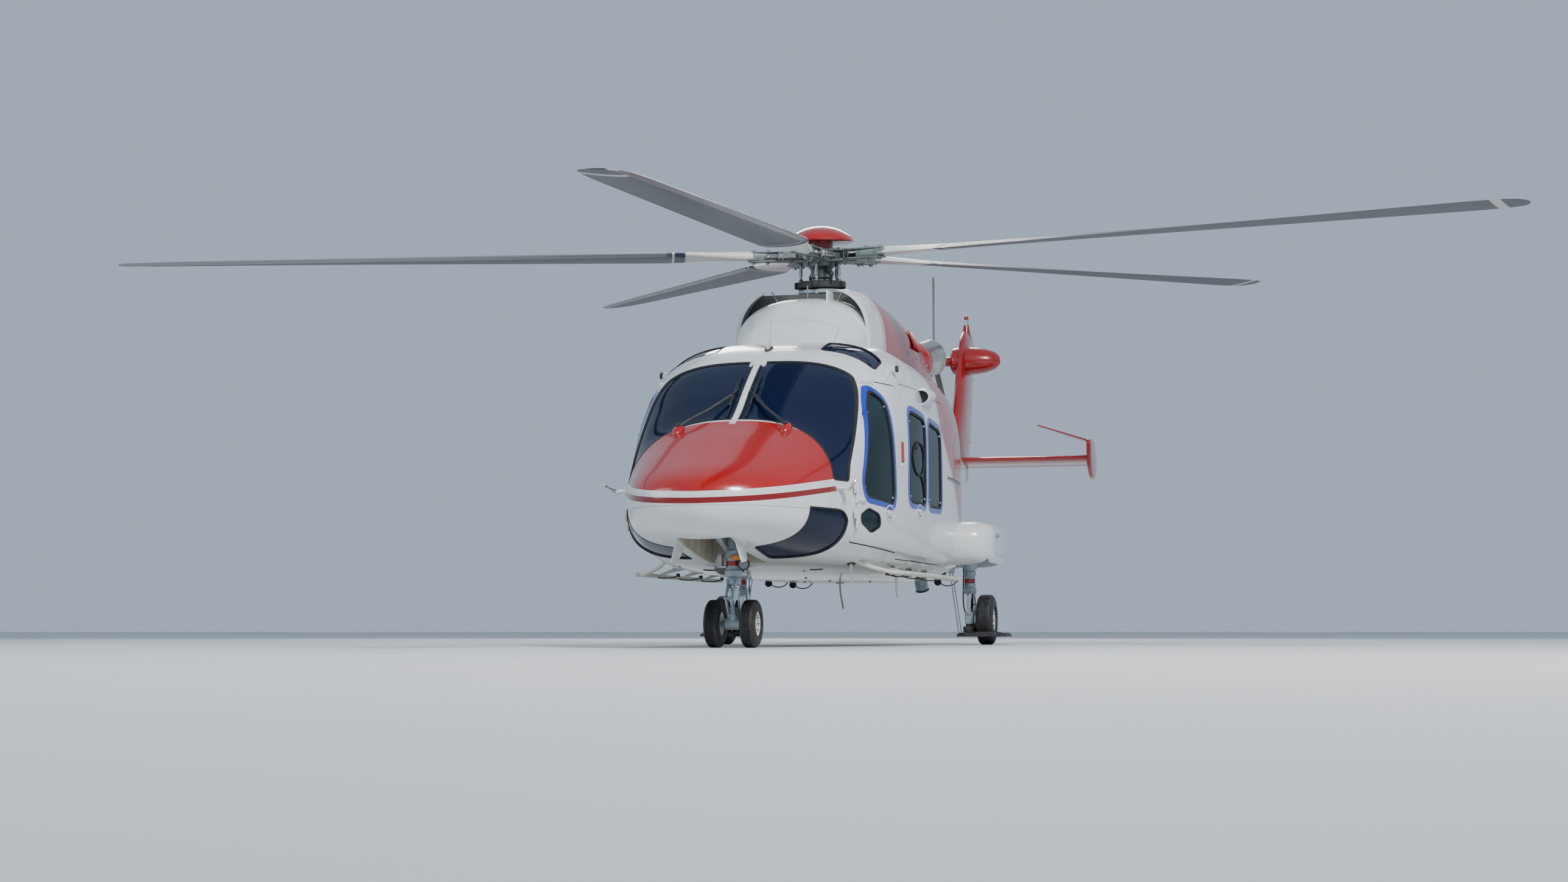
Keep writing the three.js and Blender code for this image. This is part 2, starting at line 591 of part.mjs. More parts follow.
// Ring of an aerofoil round the blade's long axis, which the chord straddles evenly
function foilRing(chord, thick, twist) {
  const angle = THREE.MathUtils.degToRad(twist);
  return FOIL.map(([c, t]) => {
    const [y, z] = [(0.5 - c) * chord, (t * thick) / 2];
    return [y * Math.cos(angle) - z * Math.sin(angle), y * Math.sin(angle) + z * Math.cos(angle)];
  });
}
function bladeSolid(table, matrix) {
  return loft(table.map(([reach, chord, thick, twist]) => foilRing(chord, thick, twist)
    .map(([y, z]) => new THREE.Vector3(reach, y, z).applyMatrix4(matrix).toArray())));
}
for (const k of bladeNumbers) {
  place(`main_blade_${k + 1}`, bladeSolid(MAIN_BLADE, aroundMast(k)), BLADE);
}

// Fin, hollow and open downwards. Columns: height, leading edge y, trailing edge y, half thickness.
const FIN = [
  [1880, 6960, 7170, 60],
  [1950, 6860, 7420, 80],
  [2120, 6720, 7975, 100],
  [2220, 6660, 8045, 105],
  [2700, 7000, 8205, 90],
  [3200, 7270, 8365, 80],
  [3600, 7450, 8490, 66],
  [3740, 7600, 8450, 48],
  [3790, 7720, 8370, 30],
];
const FIN_WALL = 12;
const finRing = ([z, front, rear, half], grow) => FOIL.map(([c, t]) => [
  t * (half + grow),
  front - grow + (rear + grow * 2 - front) * c,
  z,
]);
const finSolid = (grow) => loft(FIN.map((row) => finRing(row, grow)));
const finHollow = loft(FIN.slice(1, -1).map((row) => finRing(row, -FIN_WALL)));
const boomClear = hullOf(BOOM, { inset: -GAP, step: 1100 });
const BEACON = { y: 7860, low: 3740, high: 4000, radius: 32 };

// Tail gearbox in its fairing through the fin's top, with the shaft to the tail rotor. The
// profile lists radius and distance to the helicopter's right.
const HUB_FACE = 320;
const TAIL_GEARBOX = [
  [0, -458], [52, -448], [100, -400], [142, -290], [165, -150],
  [176, 0], [160, 110], [60, 150], [48, HUB_FACE], [0, HUB_FACE],
];
const onTail = (profile, sides) => turned(profile, [0, TAIL_HUB.y, TAIL_HUB.z], [-1, 0, 0], sides);
const gearboxHole = TAIL_GEARBOX.map(([radius, along]) => [radius > 0 ? radius + GAP : 0, along]);
place('tail_gearbox', onTail(TAIL_GEARBOX, 20), RED);
place('fin', finSolid(0)
  .subtract(finHollow)
  .add(rod([0, BEACON.y, BEACON.low], [0, BEACON.y, BEACON.high], BEACON.radius, BEACON.radius, 12))
  .subtract(boomClear)
  .subtract(onTail(gearboxHole, 20)), RED);

// Tail rotor on the helicopter's right-hand side
const TAIL_BLADE = [
  [60, 90, 30, 6],
  [230, 175, 26, 6],
  [TAIL_RADIUS - 40, 175, 20, 2],
  [TAIL_RADIUS, 120, 12, 2],
];
const tailFrame = (k) => new THREE.Matrix4()
  .makeBasis(new THREE.Vector3(0, 0, 1), new THREE.Vector3(0, -1, 0), new THREE.Vector3(1, 0, 0))
  .premultiply(new THREE.Matrix4().makeRotationX((2 * Math.PI * k) / TAIL_BLADES))
  .setPosition(TAIL_HUB.x, TAIL_HUB.y, TAIL_HUB.z);
const tailHub = onTail([[0, HUB_FACE + GAP], [80, HUB_FACE + GAP], [80, 420], [40, 440], [0, 445]], 20);
const tailBlades = Array.from({ length: TAIL_BLADES }, (_, k) => bladeSolid(TAIL_BLADE, tailFrame(k)));
place('tail_rotor', union([tailHub, ...tailBlades]), BLADE);

// Stabiliser with end plates and winglets turned inwards. Columns of its sections: distance from
// the middle, leading edge y, trailing edge y, height, thickness and fall towards the rear.
const STAB = [
  [0, 6743, 7360, 2135, 92, 60],
  [1590, 6743, 7360, 2135, 92, 60],
];
const WINGLET = [
  [1590, 6655, 7110, 2325, 40, 0],
  [1040, 6550, 6775, 2500, 24, 0],
];
const END_PLATE = {
  points: [[6660, 2335], [6690, 2040], [6930, 1905], [7150, 1888], [7385, 2050], [7340, 2190], [7080, 2365]],
  radius: 60,
};
const END_PLATE_X = [1584, 1632];
const stabRing = ([x, front, rear, z, thick, fall]) => FOIL
  .map(([c, t]) => [x, front + (rear - front) * c, z + (t * thick) / 2 - fall * c]);
const stabForms = [loft(STAB.map(stabRing)), prism(END_PLATE, 'x', ...END_PLATE_X), loft(WINGLET.map(stabRing))];
const stabiliser = union(stabForms)
  .subtract(boomClear)
  .subtract(finSolid(GAP));
placePair('stabiliser', stabiliser.intersect(block([0, 0, 0], [FAR, BACK, FAR])), RED);

// Sponsons over the main wheels. Columns as the fuselage, about their own middle line.
const SPONSON_X = 1000;
const SPONSON = [
  [640, 230, 800, 920, 1005, 2.5, 2.5],
  [720, 330, 735, 920, 1070, 3.2, 3.2],
  [900, 380, 700, 915, 1105, 4.5, 4.5],
  [1560, 380, 700, 915, 1108, 4.5, 4.5],
  [1760, 330, 760, 925, 1080, 3.2, 3.2],
  [1840, 220, 840, 940, 1020, 2.5, 2.5],
];
const WELL = { low: [940, 800, 400], high: [1334, 1640, 1035] };
const sponson = loft(SPONSON.map((row) => sectionRing(row, 0, 20).map(([x, y, z]) => [x + SPONSON_X, y, z])))
  .subtract(block(WELL.low, WELL.high))
  .subtract(hullClear);
placePair('sponson', sponson, WHITE);

// Scissor link on a leg: two bars that meet at a knee, held off the leg by reach
function scissor([x, y], { high, low, reach, radius }) {
  const knee = [x, y + reach, (high + low) / 2];
  return rod([x, y, high], knee, radius, radius, 8).add(rod(knee, [x, y, low], radius, radius, 8));
}

// Main legs with their axles, wheels and snow pads
const LEG = {
  radius: 50,
  piston: 34,
  split: 480,
  foot: 178,
  footHalf: 42,
  footHigh: 278,
  axle: 30,
  axleIn: 20,
};
const LEG_SCISSOR = { high: 520, low: 250, reach: 150, radius: 15 };
const LEG_BRACE = { low: 700, front: 860, high: 1015, radius: 26 };
const axleHeight = MAIN_WHEEL.radius;
const mainLeg = union([
  rod([MAIN_LEG_X, MAIN_WHEEL.y, LEG.split], [MAIN_LEG_X, MAIN_WHEEL.y, WELL.high[2] - GAP], LEG.radius),
  rod([MAIN_LEG_X, MAIN_WHEEL.y, axleHeight], [MAIN_LEG_X, MAIN_WHEEL.y, LEG.split], LEG.piston),
  block(
    [MAIN_LEG_X - LEG.footHalf, MAIN_WHEEL.y - LEG.footHalf, LEG.foot],
    [MAIN_LEG_X + LEG.footHalf, MAIN_WHEEL.y + LEG.footHalf, LEG.footHigh],
  ),
  rod(
    [MAIN_LEG_X, MAIN_WHEEL.y, axleHeight],
    [MAIN_WHEEL.x - MAIN_WHEEL.width / 2 - GAP + LEG.axleIn, MAIN_WHEEL.y, axleHeight],
    LEG.axle,
  ),
  scissor([MAIN_LEG_X, MAIN_WHEEL.y], LEG_SCISSOR),
  rod(
    [MAIN_LEG_X, MAIN_WHEEL.y, LEG_BRACE.low],
    [MAIN_LEG_X, LEG_BRACE.front, LEG_BRACE.high],
    LEG_BRACE.radius,
    LEG_BRACE.radius,
    10,
  ),
]);
placePair('main_leg', mainLeg.subtract(hullClear).subtract(sponson), METAL);
// Wheel about its axle; the profile lists radius and distance from the wheel's middle
function wheelSolid({ radius, width }, centre, hubInset, bore, sides = 20) {
  const half = width / 2;
  return turned([
    [bore, -half + hubInset], [radius * 0.5, -half + hubInset], [radius * 0.56, -half],
    [radius * 0.84, -half], [radius, -half * 0.55], [radius, half * 0.55],
    [radius * 0.84, half], [radius * 0.56, half],
    [radius * 0.5, half - hubInset], [bore, half - hubInset], [bore, -half + hubInset],
  ], centre, [1, 0, 0], sides);
}
const MAIN_HUBCAP = { half: 55, radius: 40 };
const NOSE_HUBCAP = { half: 38, radius: 34 };
const mainWheelCentre = [MAIN_WHEEL.x, MAIN_WHEEL.y, axleHeight];
const alongAxle = (centre, half) => [-half, half].map((offset) => [centre[0] + offset, centre[1], centre[2]]);
const mainWheel = wheelSolid(MAIN_WHEEL, mainWheelCentre, 20, 12)
  .add(rod(...alongAxle(mainWheelCentre, MAIN_HUBCAP.half), MAIN_HUBCAP.radius));
placePair('main_wheel', mainWheel.subtract(mainLeg), RUBBER);
const PAD = { low: 74, high: 98, hole: [88, 205], post: 40 };
const PAD_OUTLINE = {
  points: [
    [985, 1150], [1060, 1045], [1360, 1045], [1445, 1150],
    [1445, 1490], [1360, 1625], [1060, 1625], [985, 1490],
  ],
  radius: 0,
};
const pad = prism(PAD_OUTLINE, 'z', PAD.low, PAD.high)
  .subtract(block(
    [MAIN_WHEEL.x - PAD.hole[0], MAIN_WHEEL.y - PAD.hole[1], 0],
    [MAIN_WHEEL.x + PAD.hole[0], MAIN_WHEEL.y + PAD.hole[1], 200],
  ))
  .add(rod([MAIN_LEG_X, MAIN_WHEEL.y, PAD.low], [MAIN_LEG_X, MAIN_WHEEL.y, LEG.foot - GAP], PAD.post));
placePair('snow_pad', pad, DARK);

// Nose leg in its bay with two braces, steered fork and twin wheels on one axle
const NOSE_LEG = { radius: 56, piston: 38, split: 520, boss: 44, bossHalf: 60, axle: 20 };
const NOSE_SCISSOR = { high: 480, low: 240, reach: -120, radius: 14 };
const BRACE = { from: [30, 0, 700], to: [190, -560, 1120], radius: 20 };
const noseAxis = (z) => [0, NOSE_WHEEL.y, z];
const noseAcross = (half) => alongAxle(noseAxis(NOSE_WHEEL.radius), half);
const braces = [-1, 1].map((side) => {
  const [from, to] = [BRACE.from, BRACE.to].map(([x, y, z]) => [side * x, NOSE_WHEEL.y + y, z]);
  return rod(from, to, BRACE.radius);
});
const belowBay = block([-300, -3100, 300], [300, NOSE_BAY.points[2][1] - BAY_WALL, 760]);
const nosePost = rod(noseAxis(NOSE_LEG.split + GAP), noseAxis(NOSE_BAY_TOP - BAY_WALL - GAP), NOSE_LEG.radius);
const noseLeg = union([nosePost, ...braces]);
place('nose_leg', noseLeg.intersect(bayInner.add(belowBay)).subtract(bayOuter.subtract(bayInner)), METAL);
const noseFork = rod(...noseAcross(NOSE_LEG.bossHalf), NOSE_LEG.boss)
  .add(rod(noseAxis(NOSE_WHEEL.radius), noseAxis(NOSE_LEG.split), NOSE_LEG.piston))
  .add(scissor([0, NOSE_WHEEL.y], NOSE_SCISSOR))
  .subtract(rod(...noseAcross(200), NOSE_LEG.axle + GAP));
place('nose_fork', noseFork, METAL);
const noseWheels = union([
  rod(...noseAcross(NOSE_WHEEL.x), NOSE_LEG.axle),
  ...[-1, 1].flatMap((side) => {
    const centre = [side * NOSE_WHEEL.x, NOSE_WHEEL.y, NOSE_WHEEL.radius];
    return [wheelSolid(NOSE_WHEEL, centre, 14, 10), rod(...alongAxle(centre, NOSE_HUBCAP.half), NOSE_HUBCAP.radius)];
  }),
]);
place('nose_wheels', noseWheels, RUBBER);

// Side steps with their brackets and front struts, in plan view as x and y
const STEP = { low: 560, high: 590, strut: [[1070, -1815, 575], [730, -2200, 690]], strutRadius: 17 };
const STEP_OUTLINE = {
  points: [
    [1015, -1790], [1118, -1830], [1172, -800], [1168, 240],
    [1090, 430], [1010, 430], [1060, 200], [1066, -800],
  ],
  radius: 20,
};
const BRACKET = {
  places: [-1400, -740, -80],
  root: [[930, 650], [1000, 790]],
  reach: 1080,
  low: 562,
  thick: 14,
};
const stepBracket = (y) => prism({
  points: [...BRACKET.root, [BRACKET.reach, STEP.high], [BRACKET.reach, BRACKET.low]],
  radius: 0,
}, 'y', y, y + BRACKET.thick);
const step = union([
  prism(STEP_OUTLINE, 'z', STEP.low, STEP.high),
  rod(...STEP.strut, STEP.strutRadius, STEP.strutRadius, 10),
  ...BRACKET.places.map(stepBracket),
]);
placePair('step', step.subtract(hullClear).subtract(sponson), DARK);

// Floor, rear bulkhead, crew seats and instrument panel
const FLOOR = { low: 690, high: 724, keel: 600, front: -2680, rear: 1050 };
const BULKHEAD = 40;
const floor = block([-FAR, FLOOR.front, FLOOR.low], [FAR, FLOOR.rear, FLOOR.high])
  .add(block([-FAR, FLOOR.rear - BULKHEAD, FLOOR.keel], [FAR, FLOOR.rear, FAR]));
const keel = block([-400, -1900, FLOOR.keel], [400, 900, FLOOR.high - 10]);
place('cabin_floor', floor.intersect(insideOf(2)).add(keel.intersect(insideOf(GAP))), DARK);
const onFloor = FLOOR.high + GAP;
const SEAT = {
  points: [
    [-2360, onFloor], [-1930, onFloor], [-1900, 1130], [-1790, 1820],
    [-1900, 1850], [-2010, 1250], [-2420, 1230],
  ],
  radius: 30,
};
const SEAT_SIDES = [190, 660];
placePair('crew_seat', prism(SEAT, 'x', ...SEAT_SIDES), CLOTH);
// Panel in front of both seats, console between them and the post that joins the two
const PANEL_BLOCKS = [
  { low: [-520, -2660, 1060], high: [520, -2540, 1390] },
  { low: [-110, -2640, onFloor], high: [110, -2150, 1010] },
  { low: [-110, -2660, 900], high: [110, -2540, 1100] },
];
place('instrument_panel', union(PANEL_BLOCKS.map(({ low, high }) => block(low, high))), DARK);

group.position.y = -CENTRE_Y;

export default group;
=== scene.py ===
"""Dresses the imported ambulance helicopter: skins, glass, trim, undercarriage, rotors and cabin."""
import json
from functools import cache, reduce
from math import atan2, ceil, copysign, cos, degrees, hypot, pi, radians, sin, sqrt

import bpy
from bpy.props import FloatProperty, FloatVectorProperty, PointerProperty
from bpy.types import Operator, Panel, PropertyGroup
from mathutils import Matrix, Vector
from mathutils.kdtree import KDTree

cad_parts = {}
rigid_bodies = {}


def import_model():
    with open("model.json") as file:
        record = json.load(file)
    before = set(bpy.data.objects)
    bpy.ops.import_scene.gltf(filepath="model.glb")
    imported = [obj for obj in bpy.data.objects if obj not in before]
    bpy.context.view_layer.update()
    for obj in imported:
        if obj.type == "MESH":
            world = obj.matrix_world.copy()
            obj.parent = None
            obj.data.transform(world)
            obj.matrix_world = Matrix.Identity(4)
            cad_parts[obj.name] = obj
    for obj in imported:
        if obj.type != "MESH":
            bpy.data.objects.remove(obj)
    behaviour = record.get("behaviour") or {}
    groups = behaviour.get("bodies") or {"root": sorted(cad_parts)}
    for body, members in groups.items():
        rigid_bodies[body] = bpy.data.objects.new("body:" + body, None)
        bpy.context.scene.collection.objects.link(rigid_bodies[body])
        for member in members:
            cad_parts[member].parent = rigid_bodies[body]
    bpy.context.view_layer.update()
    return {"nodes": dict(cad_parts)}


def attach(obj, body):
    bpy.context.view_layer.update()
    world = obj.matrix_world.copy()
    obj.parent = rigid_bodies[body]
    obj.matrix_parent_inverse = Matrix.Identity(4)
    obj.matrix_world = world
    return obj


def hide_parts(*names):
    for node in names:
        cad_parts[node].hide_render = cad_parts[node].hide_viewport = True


bl_info = {
    "name": "Ambulance Helicopter",
    "version": (1, 0, 0),
    "blender": (4, 5, 0),
    "location": "View3D > Sidebar > Helicopter",
    "description": "Detailed skins and fittings for a parked twin-engined ambulance helicopter",
    "category": "Object",
}

for leftover in list(bpy.data.objects):
    bpy.data.objects.remove(leftover)
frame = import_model()

MM = 0.001
CENTRE_Y = 1210  # the tables count y from the mast, in millimetres
FAR = 3000  # beyond the sides of the skin; the top of the cowling is cut at this height
SMOOTH_ANGLE = radians(32)
BEVEL_ANGLE = radians(30)

# Skin of the nose and cabin. Columns: station y, half-width, bottom, height of the greatest
# width, top, and how square the lower and the upper half are.
FUSELAGE = [
    (-3950, 60, 985, 1040, 1105, 2.0, 2.0),
    (-3900, 235, 885, 1045, 1175, 2.1, 2.1),
    (-3780, 420, 800, 1050, 1255, 2.3, 2.2),
    (-3550, 590, 735, 1055, 1370, 2.6, 2.3),
    (-3200, 735, 680, 1065, 1545, 3.0, 2.3),
    (-2840, 850, 640, 1090, 1720, 3.4, 2.5),
    (-2500, 930, 615, 1130, 1985, 3.8, 2.9),
    (-2200, 990, 603, 1180, 2195, 4.2, 3.3),
    (-1850, 1035, 592, 1230, 2360, 4.6, 3.6),
    (-1500, 1062, 584, 1250, 2450, 5.0, 3.9),
    (-1000, 1083, 575, 1260, 2490, 5.5, 4.4),
    (300, 1085, 565, 1260, 2490, 5.5, 4.4),
    (1220, 1025, 565, 1260, 2478, 5.5, 4.2),
    (1600, 930, 665, 1310, 2450, 4.2, 3.6),
    (2200, 790, 905, 1400, 2400, 3.8, 3.2),
    (2750, 640, 1120, 1510, 2330, 3.8, 2.9),
    (3250, 490, 1300, 1650, 2220, 4.4, 2.6),
]
COWLING = [
    (-720, 585, 2240, 2520, 3060, 2, 2.8),
    (-395, 612, 2200, 2540, 3122, 2, 2.8),
    (300, 650, 2160, 2560, 3105, 2, 2.6),
    (1000, 680, 2150, 2560, 3000, 2, 2.6),
    (1700, 660, 2120, 2540, 2860, 2, 2.6),
    (2400, 540, 2080, 2440, 2660, 2, 2.5),
    (3000, 400, 2000, 2300, 2440, 2, 2.3),
    (3450, 290, 1950, 2180, 2290, 2, 2.2),
]
HUMP = [
    (-1450, 330, 2300, 2400, 2455, 2, 2.2),
    (-1080, 500, 2230, 2440, 2700, 2, 2.3),
    (-720, 570, 2210, 2500, 2925, 2, 2.5),
    (-330, 578, 2190, 2520, 2990, 2, 2.6),
]
BOOM = [
    (3100, 465, 1270, 1660, 2190, 5, 2.6),
    (3600, 425, 1335, 1700, 2200, 5, 2.5),
    (4600, 322, 1475, 1790, 2200, 5, 2.4),
    (5600, 240, 1615, 1880, 2200, 4.5, 2.3),
    (6600, 165, 1755, 1965, 2200, 4, 2.2),
    (7200, 120, 1870, 2030, 2200, 3.5, 2.2),
]
SPONSON = [
    (642, 30, 890, 920, 940, 2.2, 2.2),
    (652, 140, 842, 920, 984, 2.3, 2.3),
    (672, 226, 794, 920, 1020, 2.5, 2.5),
    (705, 296, 756, 920, 1053, 2.9, 2.9),
    (760, 346, 724, 919, 1084, 3.4, 3.4),
    (900, 380, 700, 915, 1105, 4.5, 4.5),
    (1560, 380, 700, 915, 1108, 4.5, 4.5),
    (1690, 354, 728, 920, 1096, 3.7, 3.7),
    (1770, 310, 776, 928, 1072, 3.1, 3.1),
    (1818, 244, 828, 936, 1036, 2.6, 2.6),
    (1836, 140, 880, 942, 992, 2.3, 2.3),
    (1840, 40, 920, 944, 962, 2.2, 2.2),
]
SPONSON_X = 1000
# Fin. Columns: height, leading edge y, trailing edge y, half thickness.
FIN = [
    (1880, 6960, 7170, 60),
    (1950, 6860, 7420, 80),
    (2120, 6720, 7975, 100),
    (2220, 6660, 8045, 105),
    (2700, 7000, 8205, 90),
    (3200, 7270, 8365, 80),
    (3600, 7450, 8490, 66),
    (3740, 7600, 8450, 48),
    (3790, 7720, 8370, 30),
]
# Outlines in side view, as y and z, or in plan view, as x and y, with a corner radius
COCKPIT_DOOR = ([(-2700, 780), (-1640, 730), (-1630, 2060), (-2139, 2060), (-2700, 1340)], 60)
COCKPIT_WINDOW = ([
    (-2545, 1240), (-2490, 1135), (-1950, 1105), (-1910, 1180), (-1985, 1900), (-2130, 1985), (-2270, 1840),
], 60)
QUARTER_WINDOW = ([(-2610, 990), (-2470, 1050), (-2260, 1010), (-2220, 920), (-2380, 860), (-2590, 930)], 45)
CABIN_DOOR = ([(-1580, 690), (130, 690), (130, 2090), (-1580, 2090)], 80)
FRONT_WINDOW = ([(-1490, 1150), (-880, 1150), (-870, 1850), (-1450, 1885)], 110)
REAR_WINDOW = ([(-740, 1150), (-150, 1165), (-170, 1825), (-725, 1855)], 110)
BAGGAGE_DOOR = ([(1750, 1180), (2520, 1290), (2500, 2000), (1750, 2000)], 60)
WINDSHIELD = ([
    (-3000, 1230), (-2905, 1560), (-2850, 1790), (-2700, 2400), (-2170, 2400),
    (-2150, 2095), (-2740, 1360), (-2800, 1230),
], 30)
POST_HALF = 32
CHIN_WINDOW = ([(300, -3420), (300, -2960), (620, -2840), (1000, -2800), (1000, -3120), (680, -3330)], 40)
CHIN_SIDE = ([(-3600, 400), (-2790, 400), (-2790, 1010), (-3600, 1010)], 190)
ROOF_WINDOW = ([(430, -1890), (700, -1865), (850, -1850), (860, -1580), (700, -1500), (430, -1490)], 50)
ROOF_LOW = 2000
NOSE_BAY = ([(-206, -3700), (206, -3700), (224, -2700), (-224, -2700)], 40)
NOSE_BAY_TOP = 1180
NOSE_JOINT = -3080
CAP_LOW = 1000
CABIN_REAR = 1060
BOOM_JOINT = 3250
AHEAD = -4100  # before the tip of the nose
CABIN_FLOOR = 724.4

WALL = 46
REAR_WALL = 24
COWL_WALL = 30
BOOM_WALL = 10
GLASS_INSET = 8
GLASS_THICK = 14
PANE_GAP = 0.4
SEAL_OUT, SEAL_IN = -2.5, 12  # insets of the trim that the seals are cut from

MAIN_HUB = (0, -30, 3410)
MAST_TILT = 4.5
BLADE_COUNT = 5
FIRST_BLADE = -90  # degrees, over the nose
TAIL_HUB = (-360, 7600, 3400)
TAIL_HUB_AXIS = (0, 7600, 3400)
TAIL_BLADES = 3
NOSE_WHEEL = (137, -2900, 178)
MAIN_WHEEL = (1240, 1310, 228)
LEG_X = 1085
STAY_Y = 1150
LANDING_LAMP = (875, 919)  # x and y
BEACON_Y = 7860
SWELL = ((560, 2290, 1160), (275, 560, 225))
EXHAUST_START, EXHAUST_END, EXHAUST_RADIUS = Vector((430, 1480, 2610)), Vector((645, 1880, 2730)), 165
STAB = [(0, 6743, 7360, 2135, 92, 60), (1590, 6743, 7360, 2135, 92, 60)]
WINGLET = [(1590, 6655, 7110, 2325, 40, 0), (1040, 6550, 6775, 2500, 24, 0)]
END_PLATE = ([
    (6660, 2335), (6690, 2040), (6930, 1905), (7150, 1888), (7385, 2050), (7340, 2190), (7080, 2365),
], 60)
# Blades. Columns: reach, chord, thickness and twist in degrees.
MAIN_BLADE = [
    (601, 130, 90, 8), (900, 210, 70, 8), (1400, 400, 50, 7), (5500, 400, 40, -3), (5900, 360, 34, -4),
    (6020, 270, 26, -4), (6060, 150, 16, -4),
]
TAIL_BLADE = [(60, 90, 30, 6), (230, 175, 26, 6), (1010, 175, 20, 2), (1050, 120, 12, 2)]
COCKPIT_BODY = "cockpit_door_{side}_body"
# Handles, as y and z on the skin
HANDLES = [("cockpit_door", -2035, 1030, COCKPIT_BODY), ("sliding_door", -1135, 1085, "airframe")]


def spot(point):
    """Metres in the frame from millimetres about the mast."""
    x, y, z = point
    return Vector((x, y - CENTRE_Y, z)) * MM


def spin(turn, axis):
    return Matrix.Rotation(radians(turn), 4, axis)


def shift(*by):
    return Matrix.Translation(by)


def deselect():
    bpy.ops.object.select_all(action="DESELECT")


def focus(piece):
    deselect()
    piece.select_set(True)
    bpy.context.view_layer.objects.active = piece


def modify(piece, kind, **options):
    """Adds a modifier with its settings and applies it."""
    modifier = piece.modifiers.new(kind.title(), kind)
    for key, value in options.items():
        setattr(modifier, key, value)
    focus(piece)
    bpy.ops.object.modifier_apply(modifier=modifier.name)
    return piece


def combine(piece, operation, tools, keep=False):
    for tool in tools:
        modify(piece, "BOOLEAN", operation=operation, solver="MANIFOLD", object=tool)
        if not keep:
            bpy.data.objects.remove(tool)
    return piece


def cut(piece, *tools, keep=False):
    return combine(piece, "DIFFERENCE", tools, keep)


def add_to(piece, *others):
    return combine(piece, "UNION", others)


def common(piece, tool, keep=False):
    return combine(piece, "INTERSECT", [tool], keep)


def twin(piece):
    """Copy with its own mesh."""
    copy = piece.copy()
    copy.data = piece.data.copy()
    bpy.context.scene.collection.objects.link(copy)
    return copy


def mirrored(piece):
    """Copy on the helicopter's other side."""
    copy = twin(piece)
    copy.data.transform(Matrix.Scale(-1, 4, (1, 0, 0)))
    copy.data.flip_normals()
    return copy


def with_mirror(piece):
    """A piece of the left side made one with its copy on the right."""
    return add_to(piece, mirrored(piece))


def join(*parts):
    focus(parts[0])
    for part in parts:
        part.select_set(True)
    if len(parts) > 1:
        bpy.ops.object.join()
    return parts[0]


def bevel(piece, width, segments=2):
    if not width:
        return piece
    return modify(
        piece, "BEVEL", width=width * MM, segments=segments, limit_method="ANGLE",
        angle_limit=BEVEL_ANGLE, harden_normals=False,
    )


def loft(rings):
    """A grid's rows are moved onto closed rings, its seam is merged and its ends are filled."""
    deselect()
    bpy.ops.mesh.primitive_grid_add(x_subdivisions=len(rings[0]), y_subdivisions=len(rings) - 1, size=1)
    piece = bpy.context.object
    points = [spot(point) for ring in rings for point in [*ring, ring[0]]]
    piece.data.vertices.foreach_set("co", [value for point in points for value in point])
    bpy.ops.object.mode_set(mode="EDIT")
    bpy.ops.mesh.select_all(action="SELECT")
    bpy.ops.mesh.remove_doubles(threshold=1e-6)
    bpy.ops.mesh.fill_holes(sides=0)
    bpy.ops.mesh.normals_make_consistent(inside=False)
    bpy.ops.object.mode_set(mode="OBJECT")
    return piece


def row_at(table, y):
    """Row of a table at any y, by a smooth curve through the columns that never overshoots."""
    k = next((i for i in range(len(table) - 2) if y <= table[i + 1][0]), len(table) - 2)

    def slope(i, column):
        return (table[i + 1][column] - table[i][column]) / (table[i + 1][0] - table[i][0])

    def tangent(i, column):
        if i in (0, len(table) - 1):
            return slope(min(i, len(table) - 2), column)
        before, after = slope(i - 1, column), slope(i, column)
        return 0 if before * after <= 0 else 2 * before * after / (before + after)

    span = table[k + 1][0] - table[k][0]
    t = min(max((y - table[k][0]) / span, 0), 1)
    row = []
    for column in range(len(table[0])):
        start, end = table[k][column], table[k + 1][column]
        leave = t * (1 - t) * (1 - t) * span * tangent(k, column)
        arrive = t * t * (1 - t) * span * tangent(k + 1, column)
        row.append(start + (end - start) * t * t * (3 - 2 * t) + leave - arrive)
    return row


def rows_of(table, step, start=None, stop=None):
    """Rows of a table no more than step apart, its own rows among them."""
    start = table[0][0] if start is None else start
    stop = table[-1][0] if stop is None else stop
    fixed = [start, *[row[0] for row in table if start + 5 < row[0] < stop - 5], stop]
    stations = [start]
    for before, after in zip(fixed, fixed[1:]):
        parts = ceil((after - before) / step)
        stations += [before + (after - before) * (k + 1) / parts for k in range(parts)]
    return [row_at(table, y) for y in stations]


def section(row, inset, count):
    """Ring of a table's section, moved inwards by inset."""
    y, half, bottom, waist, top, lower, upper = row
    ring = []
    for i in range(count):
        angle = 2 * pi * (i + 0.5) / count
        c, s = cos(angle), sin(angle)
        power = 2 / (upper if s > 0 else lower)
        reach = (top - waist if s > 0 else waist - bottom) - inset
        across = copysign((half - inset) * abs(c) ** power, c)
        ring.append((across, y, waist + copysign(reach * abs(s) ** power, s)))
    return ring


def hull(table, inset=0, step=45, count=96, start=None, stop=None):
    """Closed form of a table's skin, moved inwards, its rings step apart with count points each."""
    return loft([section(row, inset, count) for row in rows_of(table, step, start, stop)])


def skin_x(table, y, z):
    """Half-width of a skin at a station and height."""
    _, half, bottom, waist, top, lower, upper = row_at(table, y)
    reach, power = (top - waist, upper) if z > waist else (waist - bottom, lower)
    return half * (1 - min(abs(z - waist) / reach, 1) ** power) ** (1 / power)


def skin_z(table, y, x, over=True):
    """Height of a skin's top, or of its underside, at a station and distance from the middle."""
    _, half, bottom, waist, top, lower, upper = row_at(table, y)
    reach, power = (top - waist, upper) if over else (bottom - waist, lower)
    return waist + reach * (1 - min(abs(x) / half, 1) ** power) ** (1 / power)


